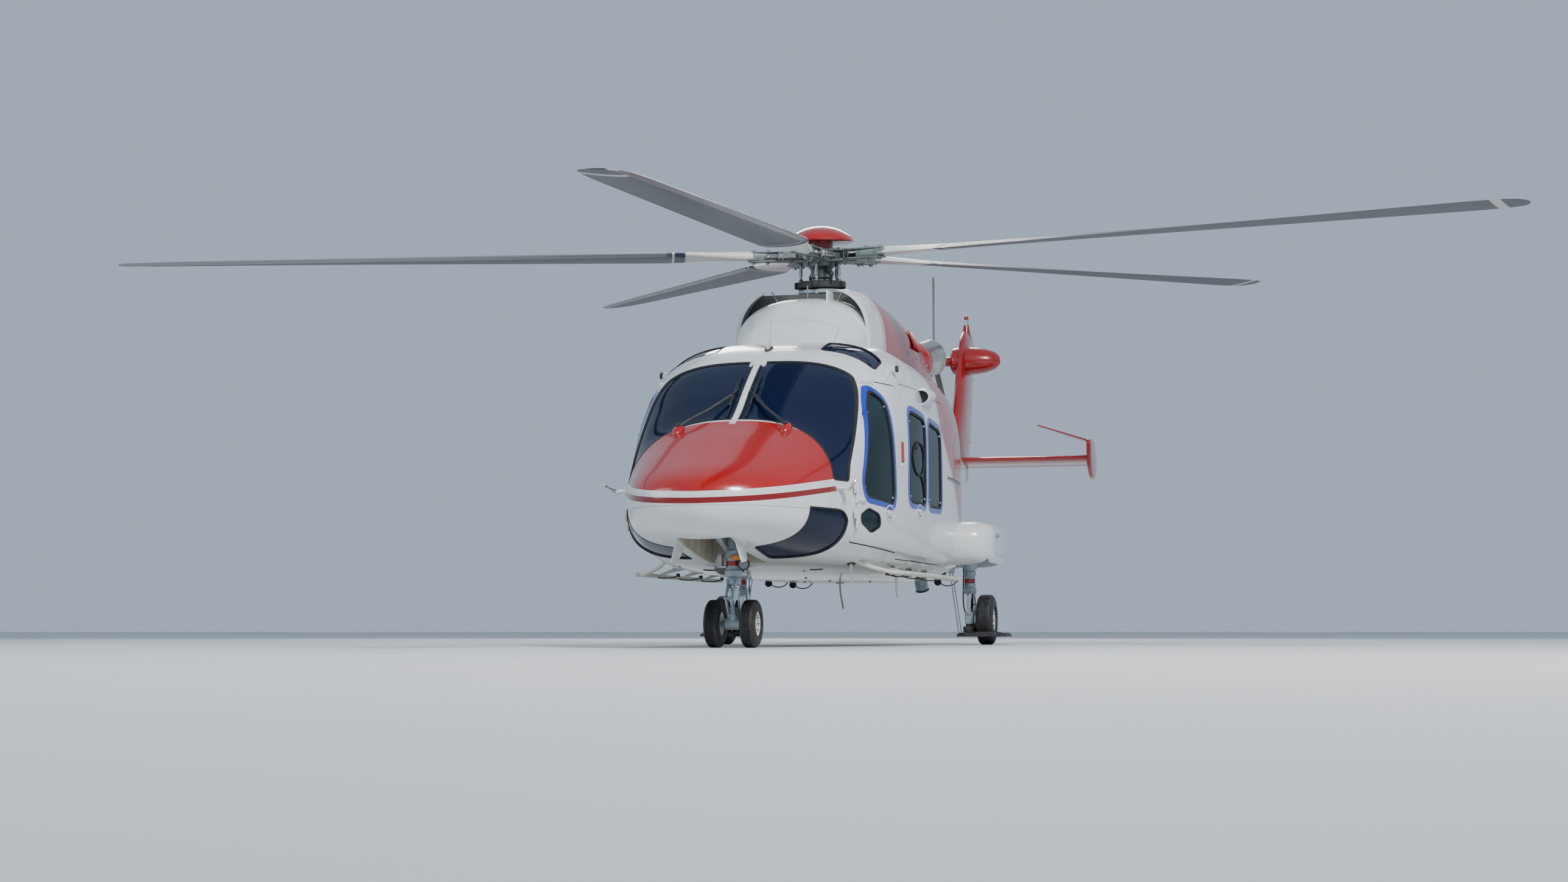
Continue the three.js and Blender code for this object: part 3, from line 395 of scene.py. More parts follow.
def on_skin(table, y, z=None, x=None, over=True, lift=0):
    """Frame on a skin, with X towards the rear and Z outwards, at a height or a distance across."""
    def at(station, other):
        if x is None:
            return Vector((skin_x(table, station, other), station, other))
        return Vector((other, station, skin_z(table, station, other, over)))

    other = z if x is None else x
    here = at(y, other)
    rearward = (at(y + 4, other) - at(y - 4, other)).normalized()
    across = at(y, other + 4) - at(y, other - 4)
    out = rearward.cross(across) if x is None else across.cross(rearward) * (1 if over else -1)
    out.normalize()
    place = Matrix((rearward, out.cross(rearward), out)).transposed().to_4x4()
    place.translation = here + out * lift
    return place


def side_at(y, z, lift=0):
    return on_skin(FUSELAGE, y, z=z, lift=lift)


def top_at(x, y, lift=0):
    return on_skin(FUSELAGE, y, x=x, lift=lift)


def belly_at(x, y, lift=0):
    return on_skin(FUSELAGE, y, x=x, over=False, lift=lift)


def carry(piece, place):
    """Moves a piece modelled about the mast's foot into a frame in millimetres about the mast."""
    turn = place.to_3x3().to_4x4()
    piece.data.transform(shift(*spot(place.translation)) @ turn @ shift(0, CENTRE_Y * MM, 0))
    return piece


def carry_all(place, pieces):
    return [carry(piece, place) for piece in pieces]


def grown(outline, distance):
    """Outline moved outwards by a distance, or inwards where it is negative."""
    points, radius = outline
    pairs = list(zip(points, [*points[1:], points[0]]))
    side = copysign(1, sum(x0 * y1 - x1 * y0 for (x0, y0), (x1, y1) in pairs))
    lines = []
    for (x0, y0), (x1, y1) in pairs:
        length = hypot(x1 - x0, y1 - y0)
        dx, dy = (x1 - x0) / length, (y1 - y0) / length
        lines.append((x0 + dy * distance * side, y0 - dx * distance * side, dx, dy))
    moved = []
    for before, line in zip([lines[-1], *lines[:-1]], lines):
        cross = before[2] * line[3] - before[3] * line[2]
        t = ((line[0] - before[0]) * line[3] - (line[1] - before[1]) * line[2]) / cross
        moved.append((before[0] + before[2] * t, before[1] + before[3] * t))
    return moved, max(4, radius + distance)


def rounded(outline, segments=8):
    """Points of an outline with its corners rounded."""
    points, radius = outline
    if radius == 0:
        return points
    result = []
    for i, corner in enumerate(points):
        corner = Vector(corner)
        before, after = Vector(points[i - 1]) - corner, Vector(points[(i + 1) % len(points)]) - corner
        size = min(radius, before.length * 0.45, after.length * 0.45)
        start, end = corner + before.normalized() * size, corner + after.normalized() * size
        for k in range(segments + 1):
            t = k / segments
            result.append(start * (1 - t) ** 2 + corner * 2 * t * (1 - t) + end * t * t)
    return result


def arc(radius, other, turns):
    """Points of a circle or an oval at the given angles in degrees."""
    return [(radius * cos(radians(turn)), other * sin(radians(turn))) for turn in turns]


def oval(half_length, half_width):
    return arc(half_length, half_width, range(0, 360, 9)), 0


def corners(low_a, low_b, high_a, high_b):
    return [(low_a, low_b), (high_a, low_b), (high_a, high_b), (low_a, high_b)]


def twofold(half, across=True):
    """Closed outline or profile from its half, mirrored in the first number or else in the second."""
    a, b = (-1, 1) if across else (1, -1)
    return [*half, *[(x * a, y * b) for x, y in reversed(half)]]


def prism(outline, axis, low, high, edge=0, segments=2):
    """Solid of an outline between two places along the axis across it, with its edges bevelled."""
    ring, at = rounded(outline), "xyz".index(axis)
    rings = [[(*point[:at], depth, *point[at:]) for point in ring] for depth in (low, high)]
    return bevel(loft(rings), edge, segments)


def box(low, high, edge=0, segments=2):
    """A cube added at its size and place, with its edges bevelled."""
    low, high = spot(low), spot(high)
    deselect()
    bpy.ops.mesh.primitive_cube_add(size=1)
    piece = bpy.context.object
    piece.data.transform(shift(*((low + high) / 2)) @ Matrix.Diagonal((*(high - low), 1)))
    return bevel(piece, edge, segments)


def slab(low_y, high_y, low_z=0):
    """Cutting block across the whole helicopter between two stations."""
    return box((-FAR, low_y, low_z), (FAR, high_y, FAR))


def turned(profile, centre=(0, 0, 0), axis=(0, 0, 1), count=48):
    """Solid of revolution; the profile lists radius and distance along the axis from the centre."""
    turn = Vector(axis).normalized().to_track_quat("Z", "Y")
    angles = [2 * pi * i / count for i in range(count)]
    return loft([[
        Vector(centre) + turn @ Vector((radius * cos(angle), radius * sin(angle), along))
        for angle in angles
    ] for radius, along in profile])


def knobs(profile, count, places):
    """Copies of a small turned piece, one in each frame."""
    return [carry(turned(profile, count=count), place) for place in places]


def rod(start, end, radius, end_radius=None, count=24, edge=2):
    """Round bar or cone with small bevels at its ends."""
    end_radius = radius if end_radius is None else end_radius
    length = (Vector(end) - Vector(start)).length
    edge = min(edge, radius / 3, end_radius / 3, length / 3)
    profile = [
        (0, 0), (radius - edge, 0), (radius, edge), (end_radius, length - edge),
        (end_radius - edge, length), (0, length),
    ]
    return turned(profile, start, Vector(end) - Vector(start), count)


def tube(points, radius, count=12, steps=8):
    """Round bar along a smooth curve through the points."""
    points = [Vector(point) for point in points]
    ends = [points[0] * 2 - points[1], *points, points[-1] * 2 - points[-2]]
    path = []
    for a, b, c, d in zip(ends, ends[1:], ends[2:], ends[3:]):
        for k in range(steps):
            t = k / steps
            bend = (a * 2 - b * 5 + c * 4 - d) * t ** 2 + (b * 3 - a - c * 3 + d) * t ** 3
            path.append((b * 2 + (c - a) * t + bend) / 2)
    path.append(points[-1])
    rings = []
    side = None
    for i, point in enumerate(path):
        along = (path[min(i + 1, len(path) - 1)] - path[max(i - 1, 0)]).normalized()
        side = along.orthogonal() if side is None else side - along * side.dot(along)
        side.normalize()
        other = along.cross(side)
        rings.append([point + side * a + other * b for a, b in arc(
            radius, radius, [360 * k / count for k in range(count)])])
    return loft(rings)


def bar(axis, start, end, wide, narrow, half):
    """Flat link with round ends between two places in the plane across an axis.

    start and end are (a, b, depth) with the plane's two coordinates first; half is half its thickness."""
    along = Vector(end[:2]) - Vector(start[:2])
    lean = degrees(atan2(along.y, along.x))
    points = []
    for place, radius, first in ((end, narrow, -90), (start, wide, 90)):
        turns = [lean + first + 22.5 * i for i in range(9)]
        points += [(place[0] + a, place[1] + b) for a, b in arc(radius, radius, turns)]
    return prism((points, 0), axis, start[2] - half, start[2] + half, min(3, half / 2))


def ball(centre, radii):
    """Round form from a sphere, stretched."""
    deselect()
    bpy.ops.mesh.primitive_uv_sphere_add(segments=32, ring_count=16, radius=1)
    piece = bpy.context.object
    size = Matrix.Diagonal((*[radius * MM for radius in radii], 1))
    piece.data.transform(shift(*spot(centre)) @ size)
    return piece


def foil(count):
    """Once round an aerofoil: chord fraction from the leading edge and thickness fraction."""
    points = []
    for step in range(count):
        turn = 2 * pi * step / count
        c = (1 + cos(turn)) / 2
        t = 10 * (0.2969 * sqrt(c) - 0.126 * c - 0.3516 * c ** 2 + 0.2843 * c ** 3 - 0.1036 * c ** 4)
        points.append((c, t if turn < pi else -0.9 * t))
    return points


FOIL = foil(28)


class Wire:
    """A value in a material's node tree, to which Python's operators add Math nodes."""

    def __init__(self, finish, socket):
        self.finish, self.socket = finish, socket

    def maths(self, operation, *values):
        return self.finish.add("ShaderNodeMath", {"operation": operation}, dict(enumerate(values)))

    def __add__(self, other):
        return self.maths("ADD", self, other)

    __radd__ = __add__

    def __sub__(self, other):
        return self.maths("SUBTRACT", self, other)

    def __rsub__(self, other):
        return self.maths("SUBTRACT", other, self)

    def __mul__(self, other):
        return self.maths("MULTIPLY", self, other)

    __rmul__ = __mul__

    def __truediv__(self, other):
        return self.maths("DIVIDE", self, other)

    def __abs__(self):
        return self.maths("ABSOLUTE", self)

    def maximum(self, other):
        return self.maths("MAXIMUM", self, other)

    def repeat(self, length):
        """Distance from the middle of the nearest of cells that are length long."""
        return abs(self.maths("FLOORED_MODULO", self, length) - length / 2)

    def rise(self, low, high):
        """0 below low to 1 above high, or the other way where high is below low."""
        values = {0: self, 1: low, 2: high}
        return self.finish.add("ShaderNodeMapRange", {"interpolation_type": "SMOOTHSTEP"}, values)

    def band(self, low, high, soft=0.0015):
        """1 between low and high."""
        return self.rise(low - soft, low + soft) * self.rise(high + soft, high - soft)


class Finish:
    """A material with one Principled shader and the nodes that feed it."""

    def __init__(self, name, color=(0.5, 0.5, 0.5), **sockets):
        self.material = bpy.data.materials.new(name)
        self.material.use_nodes = True
        self.tree = self.material.node_tree
        self.shader = next(node for node in self.tree.nodes if node.type == "BSDF_PRINCIPLED")
        self.shader.inputs["Base Color"].default_value = (*color, 1)
        for key, value in sockets.items():
            self.shader.inputs[key.replace("_", " ").title().replace("Ior", "IOR")].default_value = value
        self.position = self.add("ShaderNodeTexCoord", {}, {}, "Object")
        split = self.tree.nodes.new("ShaderNodeSeparateXYZ")
        self.tree.links.new(self.position.socket, split.inputs[0])
        self.x, self.low_y, self.z = [Wire(self, socket) for socket in split.outputs]
        self.y = self.low_y + CENTRE_Y * MM

    def add(self, kind, options, values, output=0):
        node = self.tree.nodes.new(kind)
        for key, value in options.items():
            setattr(node, key, value)
        for key, value in values.items():
            if isinstance(value, Wire):
                self.tree.links.new(value.socket, node.inputs[key])
            else:
                node.inputs[key].default_value = value
        return Wire(self, node.outputs[output])

    def attribute(self, name):
        return self.add("ShaderNodeAttribute", {"attribute_name": name}, {}, 2)

    def noise(self, scale, detail=3, stretch=(1, 1, 1)):
        place = self.add("ShaderNodeMapping", {}, {0: self.position, 3: stretch})
        return self.add("ShaderNodeTexNoise", {}, {"Vector": place, "Scale": scale, "Detail": detail})

    def mix(self, factor, first, second):
        first, second = [value if isinstance(value, Wire) else (*value, 1) for value in (first, second)]
        return self.add("ShaderNodeMix", {"data_type": "RGBA"}, {0: factor, 6: first, 7: second}, 2)

    def paint_over(self, color, *layers):
        """Lays colours over one another, each where its mask is 1."""
        for mask, over in layers:
            color = self.mix(mask, color, over)
        return color

    def feed(self, **sockets):
        """Links wires to the shader's sockets."""
        for key, wire in sockets.items():
            self.tree.links.new(wire.socket, self.shader.inputs[key.replace("_", " ").title()])
        return self

    def bump(self, height, distance, strength=1.0):
        values = {"Height": height, "Distance": distance, "Strength": strength}
        return self.feed(normal=self.add("ShaderNodeBump", {}, values))

    def dusty(self, color, scale, dark, low, high):
        """Colour and gloss vary a little, as on a machine that is in use."""
        patches = self.noise(scale, 5)
        shade = tuple(value * dark for value in color)
        self.feed(base_color=self.mix(patches.rise(0.35, 0.75), color, shade))
        return self.feed(roughness=low + patches * (high - low))


# Surfaces of one colour. Columns: the record's slot, colour or a paint's name, size of the patches, their
# shade, least and greatest roughness, the shader's own values, and a fine grain's scale, detail and depth.
SURFACES = {
    "plain_white": ("white_paint", "white", 3, 0.93, 0.2, 0.34, {"coat_weight": 0.5, "coat_roughness": 0.05}),
    "plain_red": ("red_paint", "red", 3, 0.8, 0.18, 0.32, {"coat_weight": 0.7, "coat_roughness": 0.04}),
    # blue round the side windows: a painted reflection of the sky in the dark surrounds
    "blue_trim": ("white_paint", "blue", 5, 0.85, 0.25, 0.35, {"coat_weight": 0.5, "coat_roughness": 0.05}),
    "rubber": ("dark_composite", (0.012, 0.012, 0.013), 40, 0.6, 0.55, 0.8, {}, (400, 2, 0.0003)),
    "dark_composite": ("dark_composite", (0.03, 0.031, 0.034), 25, 0.6, 0.5, 0.7, {}, (300, 2, 0.0004)),
    "gear_paint": ("gear_metal", (0.36, 0.43, 0.47), 18, 0.7, 0.3, 0.5, {"metallic": 0.25}),
    "chrome": ("gear_metal", (0.7, 0.72, 0.74), 30, 0.85, 0.06, 0.16, {"metallic": 1}),
    "steel": ("engine_steel", (0.42, 0.42, 0.43), 30, 0.7, 0.25, 0.5, {"metallic": 1}),
    "hub_metal": ("gear_metal", (0.2, 0.24, 0.23), 22, 0.55, 0.3, 0.55, {"metallic": 0.55}),
    "step_paint": ("step_alloy", (0.62, 0.6, 0.53), 12, 0.8, 0.35, 0.55, {"coat_weight": 0.2}),
    "lining": ("dark_composite", (0.09, 0.092, 0.1), 9, 0.85, 0.5, 0.65, {}),
    "cabin_grey": ("dark_composite", (0.3, 0.31, 0.31), 5, 0.85, 0.45, 0.6, {}),
    "bay_paint": ("white_paint", (0.5, 0.46, 0.36), 10, 0.72, 0.4, 0.6, {}),
    "orange_tag": ("red_paint", (0.75, 0.25, 0.03), 40, 0.8, 0.5, 0.7, {}),
    "screen": ("dark_composite", (0.008, 0.012, 0.018), 60, 0.8, 0.08, 0.15, {"coat_weight": 1}),
    "red_lens": ("red_paint", (0.32, 0.006, 0.01), 30, 0.7, 0.1, 0.2, {"coat_weight": 1}),
}


def paints():
    return bpy.context.scene.helicopter_colours


def surface(name):
    """One of the surfaces of one colour."""
    _, color, scale, dark, low, high, values, *grain = SURFACES[name]
    finish = Finish(name, **values)
    finish.dusty(getattr(paints(), color) if isinstance(color, str) else color, scale, dark, low, high)
    for fineness, detail, depth in grain:
        finish.bump(finish.noise(fineness, detail), depth)
    if name == "red_lens":
        finish.bump(finish.z.repeat(0.008).rise(0, 0.004), 0.001)
    return finish


def fine_line(distance, half=0.0016):
    return abs(distance).rise(half * 1.4, half * 0.6)


def rivets(across, along, pitch=0.045, radius=0.0034):
    """Row of rivet heads where across is nil."""
    step = along.repeat(pitch)
    return (step * step + across * across).rise(radius ** 2, (radius * 0.6) ** 2)


def loop_line(a, b, middle_a, middle_b, half_a, half_b):
    """Fine closed line, a squarish oval."""
    u, v = (a - middle_a) / half_a, (b - middle_b) / half_b
    u, v = u * u, v * v
    reach = u * u + v * v
    return fine_line((reach.maths("POWER", reach, 0.25) - 1) * min(half_a, half_b))


# Panel joints and rows of rivets of the painted skin. Columns: the coordinate across them and its value,
# the coordinate along them, from and to, where they show if not all round, and a row's pitch.
SEAMS = [
    ("y", NOSE_JOINT * MM, "z", CAP_LOW * MM, 1.9, ""), ("z", CAP_LOW * MM, "y", -3.95, NOSE_JOINT * MM, ""),
    ("z", 2.276, "y", -2.1, 1.05, "side"), ("y", CABIN_REAR * MM, "z", 0.5, 2.4, ""),
    ("y", 0.42, "z", 2.3, 3.2, "side"), ("y", 1.28, "z", 2.3, 3.2, "side"), ("y", 2.2, "z", 2.1, 3.2, ""),
    ("z", 2.62, "y", 0.42, 2.2, "side"), ("y", -1.08, "z", 2.3, 3.2, ""),
    ("y", -2.02, "x", 0.0, 0.4, "upper"), ("x", 0.4, "y", -2.02, -1.1, "upper"),
    ("y", 0.64, "x", 0.0, 0.72, "under"), ("x", 0.62, "y", -2.3, 0.62, "under"),
    ("y", 6.3, "z", 1.6, 2.3, ""), ("y", 4.2, "z", 1.2, 2.3, ""),
]
RIVETS = [
    ("y", -3.115, "z", 1.0, 1.5, ""), ("z", 0.965, "y", -3.9, -3.1, ""),
    ("z", 2.24, "y", -2.0, 1.0, "side"), ("y", 1.03, "z", 0.7, 2.3, ""), ("y", 1.09, "z", 0.7, 2.3, ""),
    ("y", 0.6, "x", 0.0, 0.75, "under"), ("y", -0.65, "x", 0.0, 0.9, "under", 0.06),
    ("y", -1.55, "x", 0.0, 0.9, "under", 0.06), ("y", -2.45, "x", 0.25, 0.8, "under"),
    ("x", 0.58, "y", -2.4, 0.6, "under"), ("x", 0.245, "y", -3.6, -2.7, "under"),
    ("y", 3.285, "z", 1.2, 2.3, ""), ("z", 2.58, "y", 0.45, 2.2, "side"),
    ("y", 6.26, "z", 1.6, 2.3, ""),
]


def livery(name):
    """White with the nose's and the rear's red areas and their stripes, and painted shade as a cream-grey on
    the belly and, darker, under the boom.
    """
    finish = Finish(name, coat_weight=0.6, coat_roughness=0.04)
    x, y, z = abs(finish.x), finish.y, finish.z
    patches = finish.noise(3, 5)
    white, red, belly_shade = paints().white, paints().red, paints().belly
    ahead = y + 3.94
    red_edge = z - (ahead * 0.142 + 1.098)
    stripe_top = z - (ahead * 0.134 + 1.053)
    stripe_low = z - (ahead * 0.137 + 1.012)
    red_nose = y.rise(-2.9, -2.903) * red_edge.rise(-0.0015, 0.0015)
    stripe = y.rise(-2.985, -2.988) * stripe_top.rise(0.0015, -0.0015) * stripe_low.rise(-0.0015, 0.0015)
    behind = y - (-0.12 - (z - 1.84) * 0.15).maximum(-0.12 - (z - 1.84) * 1.54)
    rear = y.rise(3.252, 3.25) * behind.rise(-0.0015, 0.0015)
    pins = behind.band(-0.045, -0.025).maximum(behind.band(-0.09, -0.08))
    # painted shade: mask of the boom's underside, painted a darker cream-grey than the belly
    boom_underside_shade = (z - (y * 0.14 + 0.86)).rise(0.03, -0.02) * y.rise(3.25, 3.26)
    boom_band = (z - (y * 0.14 + 0.9)).band(0.0, 0.06) * finish.x.rise(-0.1, -0.11) * y.rise(3.3, 3.7)
    under = z.rise(0.8, 0.78)
    axes = {"x": x, "y": y, "z": z}
    shown = {"under": under, "upper": z.rise(2.1, 2.12), "side": x.rise(0.5, 0.55)}
    lines = [
        loop_line(x, y, 0.43, 0.93, 0.2, 0.14) * under,
        loop_line(x, y, 0.0, 0.78, 0.09, 0.13) * under,
        loop_line(x, y, 0.36, -2.15, 0.12, 0.05) * under,
        loop_line(finish.x, y, 0, 4.9, 0.14, 0.32) * y.rise(3.3, 3.4) * z.rise(1.9, 1.8),
    ]
    heads = []
    for table, made, mark in ((SEAMS, lines, lambda across, _: fine_line(across)), (RIVETS, heads, rivets)):
        for across, place, along, low, high, where, *pitch in table:
            mask = mark(axes[across] - place, axes[along], *pitch) * axes[along].band(low, high)
            made.append(mask * shown[where] if where else mask)
    lines, heads = reduce(Wire.maximum, lines), reduce(Wire.maximum, heads)
    color = finish.paint_over(
        finish.mix(patches.rise(0.4, 0.8), white, tuple(value * 0.93 for value in white)),
        # painted shade: the belly's cream-grey is the white underside's shade painted in; the boom's
        # underside gets it darker
        (z.rise(0.66, 0.6) * y.rise(1.35, 1.2), belly_shade), (boom_underside_shade, tuple(value * 0.75 for value in belly_shade)),
        (boom_band, (0.006, 0.012, 0.05)), (y.rise(6.9, 6.905), red),
        (red_nose.maximum(rear).maximum(pins), red), (stripe, tuple(value * 0.6 for value in red)),
        (lines * 0.75, (0.05, 0.05, 0.05)), (heads * 0.35, (0.12, 0.12, 0.12)),
    )
    finish.feed(base_color=color, roughness=0.18 + patches * 0.14)
    return finish.bump(heads * 0.4 - lines, 0.0012, 0.6)


def glass(name, color, least, gain):
    """Tinted pane, clearer where it is looked at squarely."""
    finish = Finish(name, color, roughness=0.02, specular_ior_level=0.6)
    return finish.feed(alpha=least + finish.add("ShaderNodeFresnel", {}, {"IOR": 1.5}) * gain)


def window_glass(name):
    """Dark blue tint of the windows that look forward."""
    return glass(name, (0.006, 0.012, 0.045), 0.5, 0.5)


def side_glass(name):
    """Paler grey-green glass of the doors."""
    return glass(name, (0.02, 0.045, 0.055), 0.26, 0.7)


def lamp_glass(name):
    finish = Finish(name, (0.75, 0.78, 0.8), roughness=0.05, transmission_weight=0.7, ior=1.45)
    return finish.bump(finish.z.repeat(0.006).rise(0, 0.003), 0.001)


def tyre(name):
    finish = Finish(name)
    dust = finish.noise(30, 5).rise(0.45, 0.8)
    finish.feed(base_color=finish.mix(dust, (0.013, 0.013, 0.014), (0.05, 0.047, 0.042)))
    finish.feed(roughness=0.6 + dust * 0.25)
    return finish.bump(finish.noise(250, 3), 0.0006)


def hot_steel(name):
    finish = Finish(name, metallic=1.0)
    heat = finish.noise(9, 5)
    finish.feed(base_color=finish.mix(heat.rise(0.4, 0.8), (0.56, 0.55, 0.54), (0.34, 0.28, 0.24)))
    return finish.feed(roughness=0.22 + heat * 0.25)


def blade_paint(finish, wear, color, edge_from, *bands):
    """Blade's paint with its bands along the reach and a worn metal leading edge."""
    worn = finish.attribute("reach").rise(edge_from, edge_from + 0.02)
    edge = finish.attribute("chord").rise(0.13, 0.12) * worn
    color = finish.paint_over(color, *bands, (edge, (0.3, 0.3, 0.31)))
    return finish.feed(metallic=edge * 0.8, base_color=color, roughness=0.34 + wear * 0.2)


def blade_grey(name):
    """Dark grey main blade with a pale root and a dark band beyond it."""
    finish = Finish(name)
    reach = finish.attribute("reach")
    wear = finish.noise(4, 6, (1, 1, 4))
    blade_paint(
        finish, wear, finish.mix(wear.rise(0.35, 0.75), (0.055, 0.063, 0.074), (0.09, 0.096, 0.104)), 1.35,
        (reach.band(5.82, 5.9, 0.003), (0.5, 0.5, 0.47)), (reach.rise(1.2, 1.19), (0.62, 0.63, 0.6)),
        (reach.band(1.2, 1.29, 0.002), (0.02, 0.03, 0.06)), (reach.band(1.29, 1.31, 0.002), (0.6, 0.6, 0.58)),
    )
    return finish.bump(abs(finish.attribute("chord") - 0.13).rise(0.004, 0.002) * -1.0, 0.0006)


def tail_blade_grey(name):
    """Grey tail blade with a red band near its tip."""
    finish = Finish(name)
    wear = finish.noise(8, 5)
    color = finish.mix(wear.rise(0.35, 0.75), (0.12, 0.13, 0.14), (0.17, 0.175, 0.18))
    return blade_paint(finish, wear, color, 0.25, (finish.attribute("reach").band(0.9, 0.97), paints().red))


def cloth(name):
    finish = Finish(name, sheen_weight=0.4)
    x, y, z = finish.x, finish.low_y, finish.z
    weave = (x + y + z).repeat(0.004).rise(0, 0.002) * (x - y + z).repeat(0.004).rise(0, 0.002)
    patches = finish.noise(20, 4)
    finish.feed(base_color=finish.mix(patches, (0.045, 0.05, 0.06), (0.08, 0.085, 0.1)))
    finish.feed(roughness=0.85 + patches * 0.1)
    return finish.bump(weave, 0.0008)


def mesh_screen(name):
    """Woven wire over the engine's air intake, with painted shade of the duct behind showing between the
    wires.
    """
    finish = Finish(name, metallic=0.7)
    across, up = [axis.repeat(0.012).rise(0.0016, 0.0034) for axis in (finish.x, finish.z)]
    wires = across.maximum(up)
    # the near black between the wires is painted shade of the duct behind the screen
    color = finish.mix(wires, (0.006, 0.006, 0.007), (0.16, 0.16, 0.15))
    finish.feed(base_color=color, roughness=0.7 - wires * 0.3)
    return finish.bump(wires, 0.002)


# The other finishes, each with the record's slot
PATTERNS = {maker.__name__: (maker, slot) for maker, slot in (
    (livery, "white_paint"), (window_glass, "window_glass"), (side_glass, "window_glass"),
    (lamp_glass, "window_glass"), (tyre, "tyre_rubber"), (hot_steel, "exhaust_steel"),
    (blade_grey, "blade_grey"), (tail_blade_grey, "blade_grey"), (cloth, "seat_cloth"),
    (mesh_screen, "dark_composite"),
)}


@cache
def finish_of(name):
    """Material of a finish, made the first time that it is asked for."""
    maker = PATTERNS[name][0] if name in PATTERNS else surface
    return maker(name).material


def settle(name, finish, *parts, body="airframe", node="", slot=""):
    """Joins a piece's parts, shades it, gives it its material and sets it on its body."""
    piece = join(*parts)
    piece.name = name
    focus(piece)
    bpy.ops.object.shade_smooth_by_angle(angle=SMOOTH_ANGLE)
    piece.data.materials.clear()
    piece.data.materials.append(finish_of(finish))
    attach(piece, body)
    slot or (PATTERNS[finish][1] if finish in PATTERNS else SURFACES[finish][0])
    if node:
        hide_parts(node)
    return piece


def pair(name, finish, *parts, body="airframe", node="", slot=""):
    """Settles a left-hand piece and its mirrored copy; {side} in a name is the side."""
    left = join(*parts)
    pieces = []
    for piece, side in ((left, "left"), (mirrored(left), "right")):
        rides = {"body": body.format(side=side), "node": node.format(side=side)}
        pieces.append(settle(f"{name}_{side}", finish, piece, slot=slot, **rides))
    return pieces


def repaint(node, finish):
    """Gives a CAD node that keeps its shape a finish."""
    piece = frame["nodes"][node]
    if not piece.data.materials:
        piece.data.materials.append(None)
    for material_slot in piece.material_slots:
        material_slot.link = "OBJECT"
        material_slot.material = finish_of(finish)


PAINT = {"subtype": "COLOR", "min": 0, "max": 1}


class HelicopterColours(PropertyGroup):
    """Paint of the helicopter"""

    white: FloatVectorProperty(name="White", description="Body colour", default=(0.68, 0.7, 0.7), **PAINT)
    red: FloatVectorProperty(
        name="Red", description="Colour of the nose, rear and tail", default=(0.34, 0.004, 0.003), **PAINT)
    # painted reflection: the sky in the dark window surrounds, painted in as a saturated blue
    blue: FloatVectorProperty(
        name="Blue", description="Colour round the side windows", default=(0.004, 0.03, 0.4), **PAINT)
    # painted shade: the white underside's shade, painted in as a cream-grey
    belly: FloatVectorProperty(
        name="Belly", description="Colour of the underside", default=(0.4, 0.37, 0.28), **PAINT)


class HelicopterStage(PropertyGroup):
    """Camera and floor"""

    azimuth: FloatProperty(
        name="Azimuth", description="Camera's angle from dead ahead", subtype="ANGLE",
        default=radians(13.1))
    distance: FloatProperty(
        name="Distance", description="Camera to mast", subtype="DISTANCE", default=19, min=8)
    height: FloatProperty(
        name="Height", description="Camera above the floor", subtype="DISTANCE", default=0.12, min=0.02)
    lens: FloatProperty(name="Lens", description="Focal length in millimetres", default=50, min=20)


def through(outline, by=0, start=300):
    """Prism of a side view's outline, grown by a distance, from start across to beyond the left side."""
    return prism(grown(outline, by) if by else outline, "x", start, FAR)


def ring_of(trims, outline, out, inner):
    """Part of a thin shell between two sizes of an outline."""
    return cut(common(twin(trims), through(outline, out)), through(outline, inner))


def dish(number):
    """Hollow behind a door handle."""
    _, y, z, _ = HANDLES[number]
    return carry(ball((0, 0, 0), (100, 52, 24)), side_at(y, z))


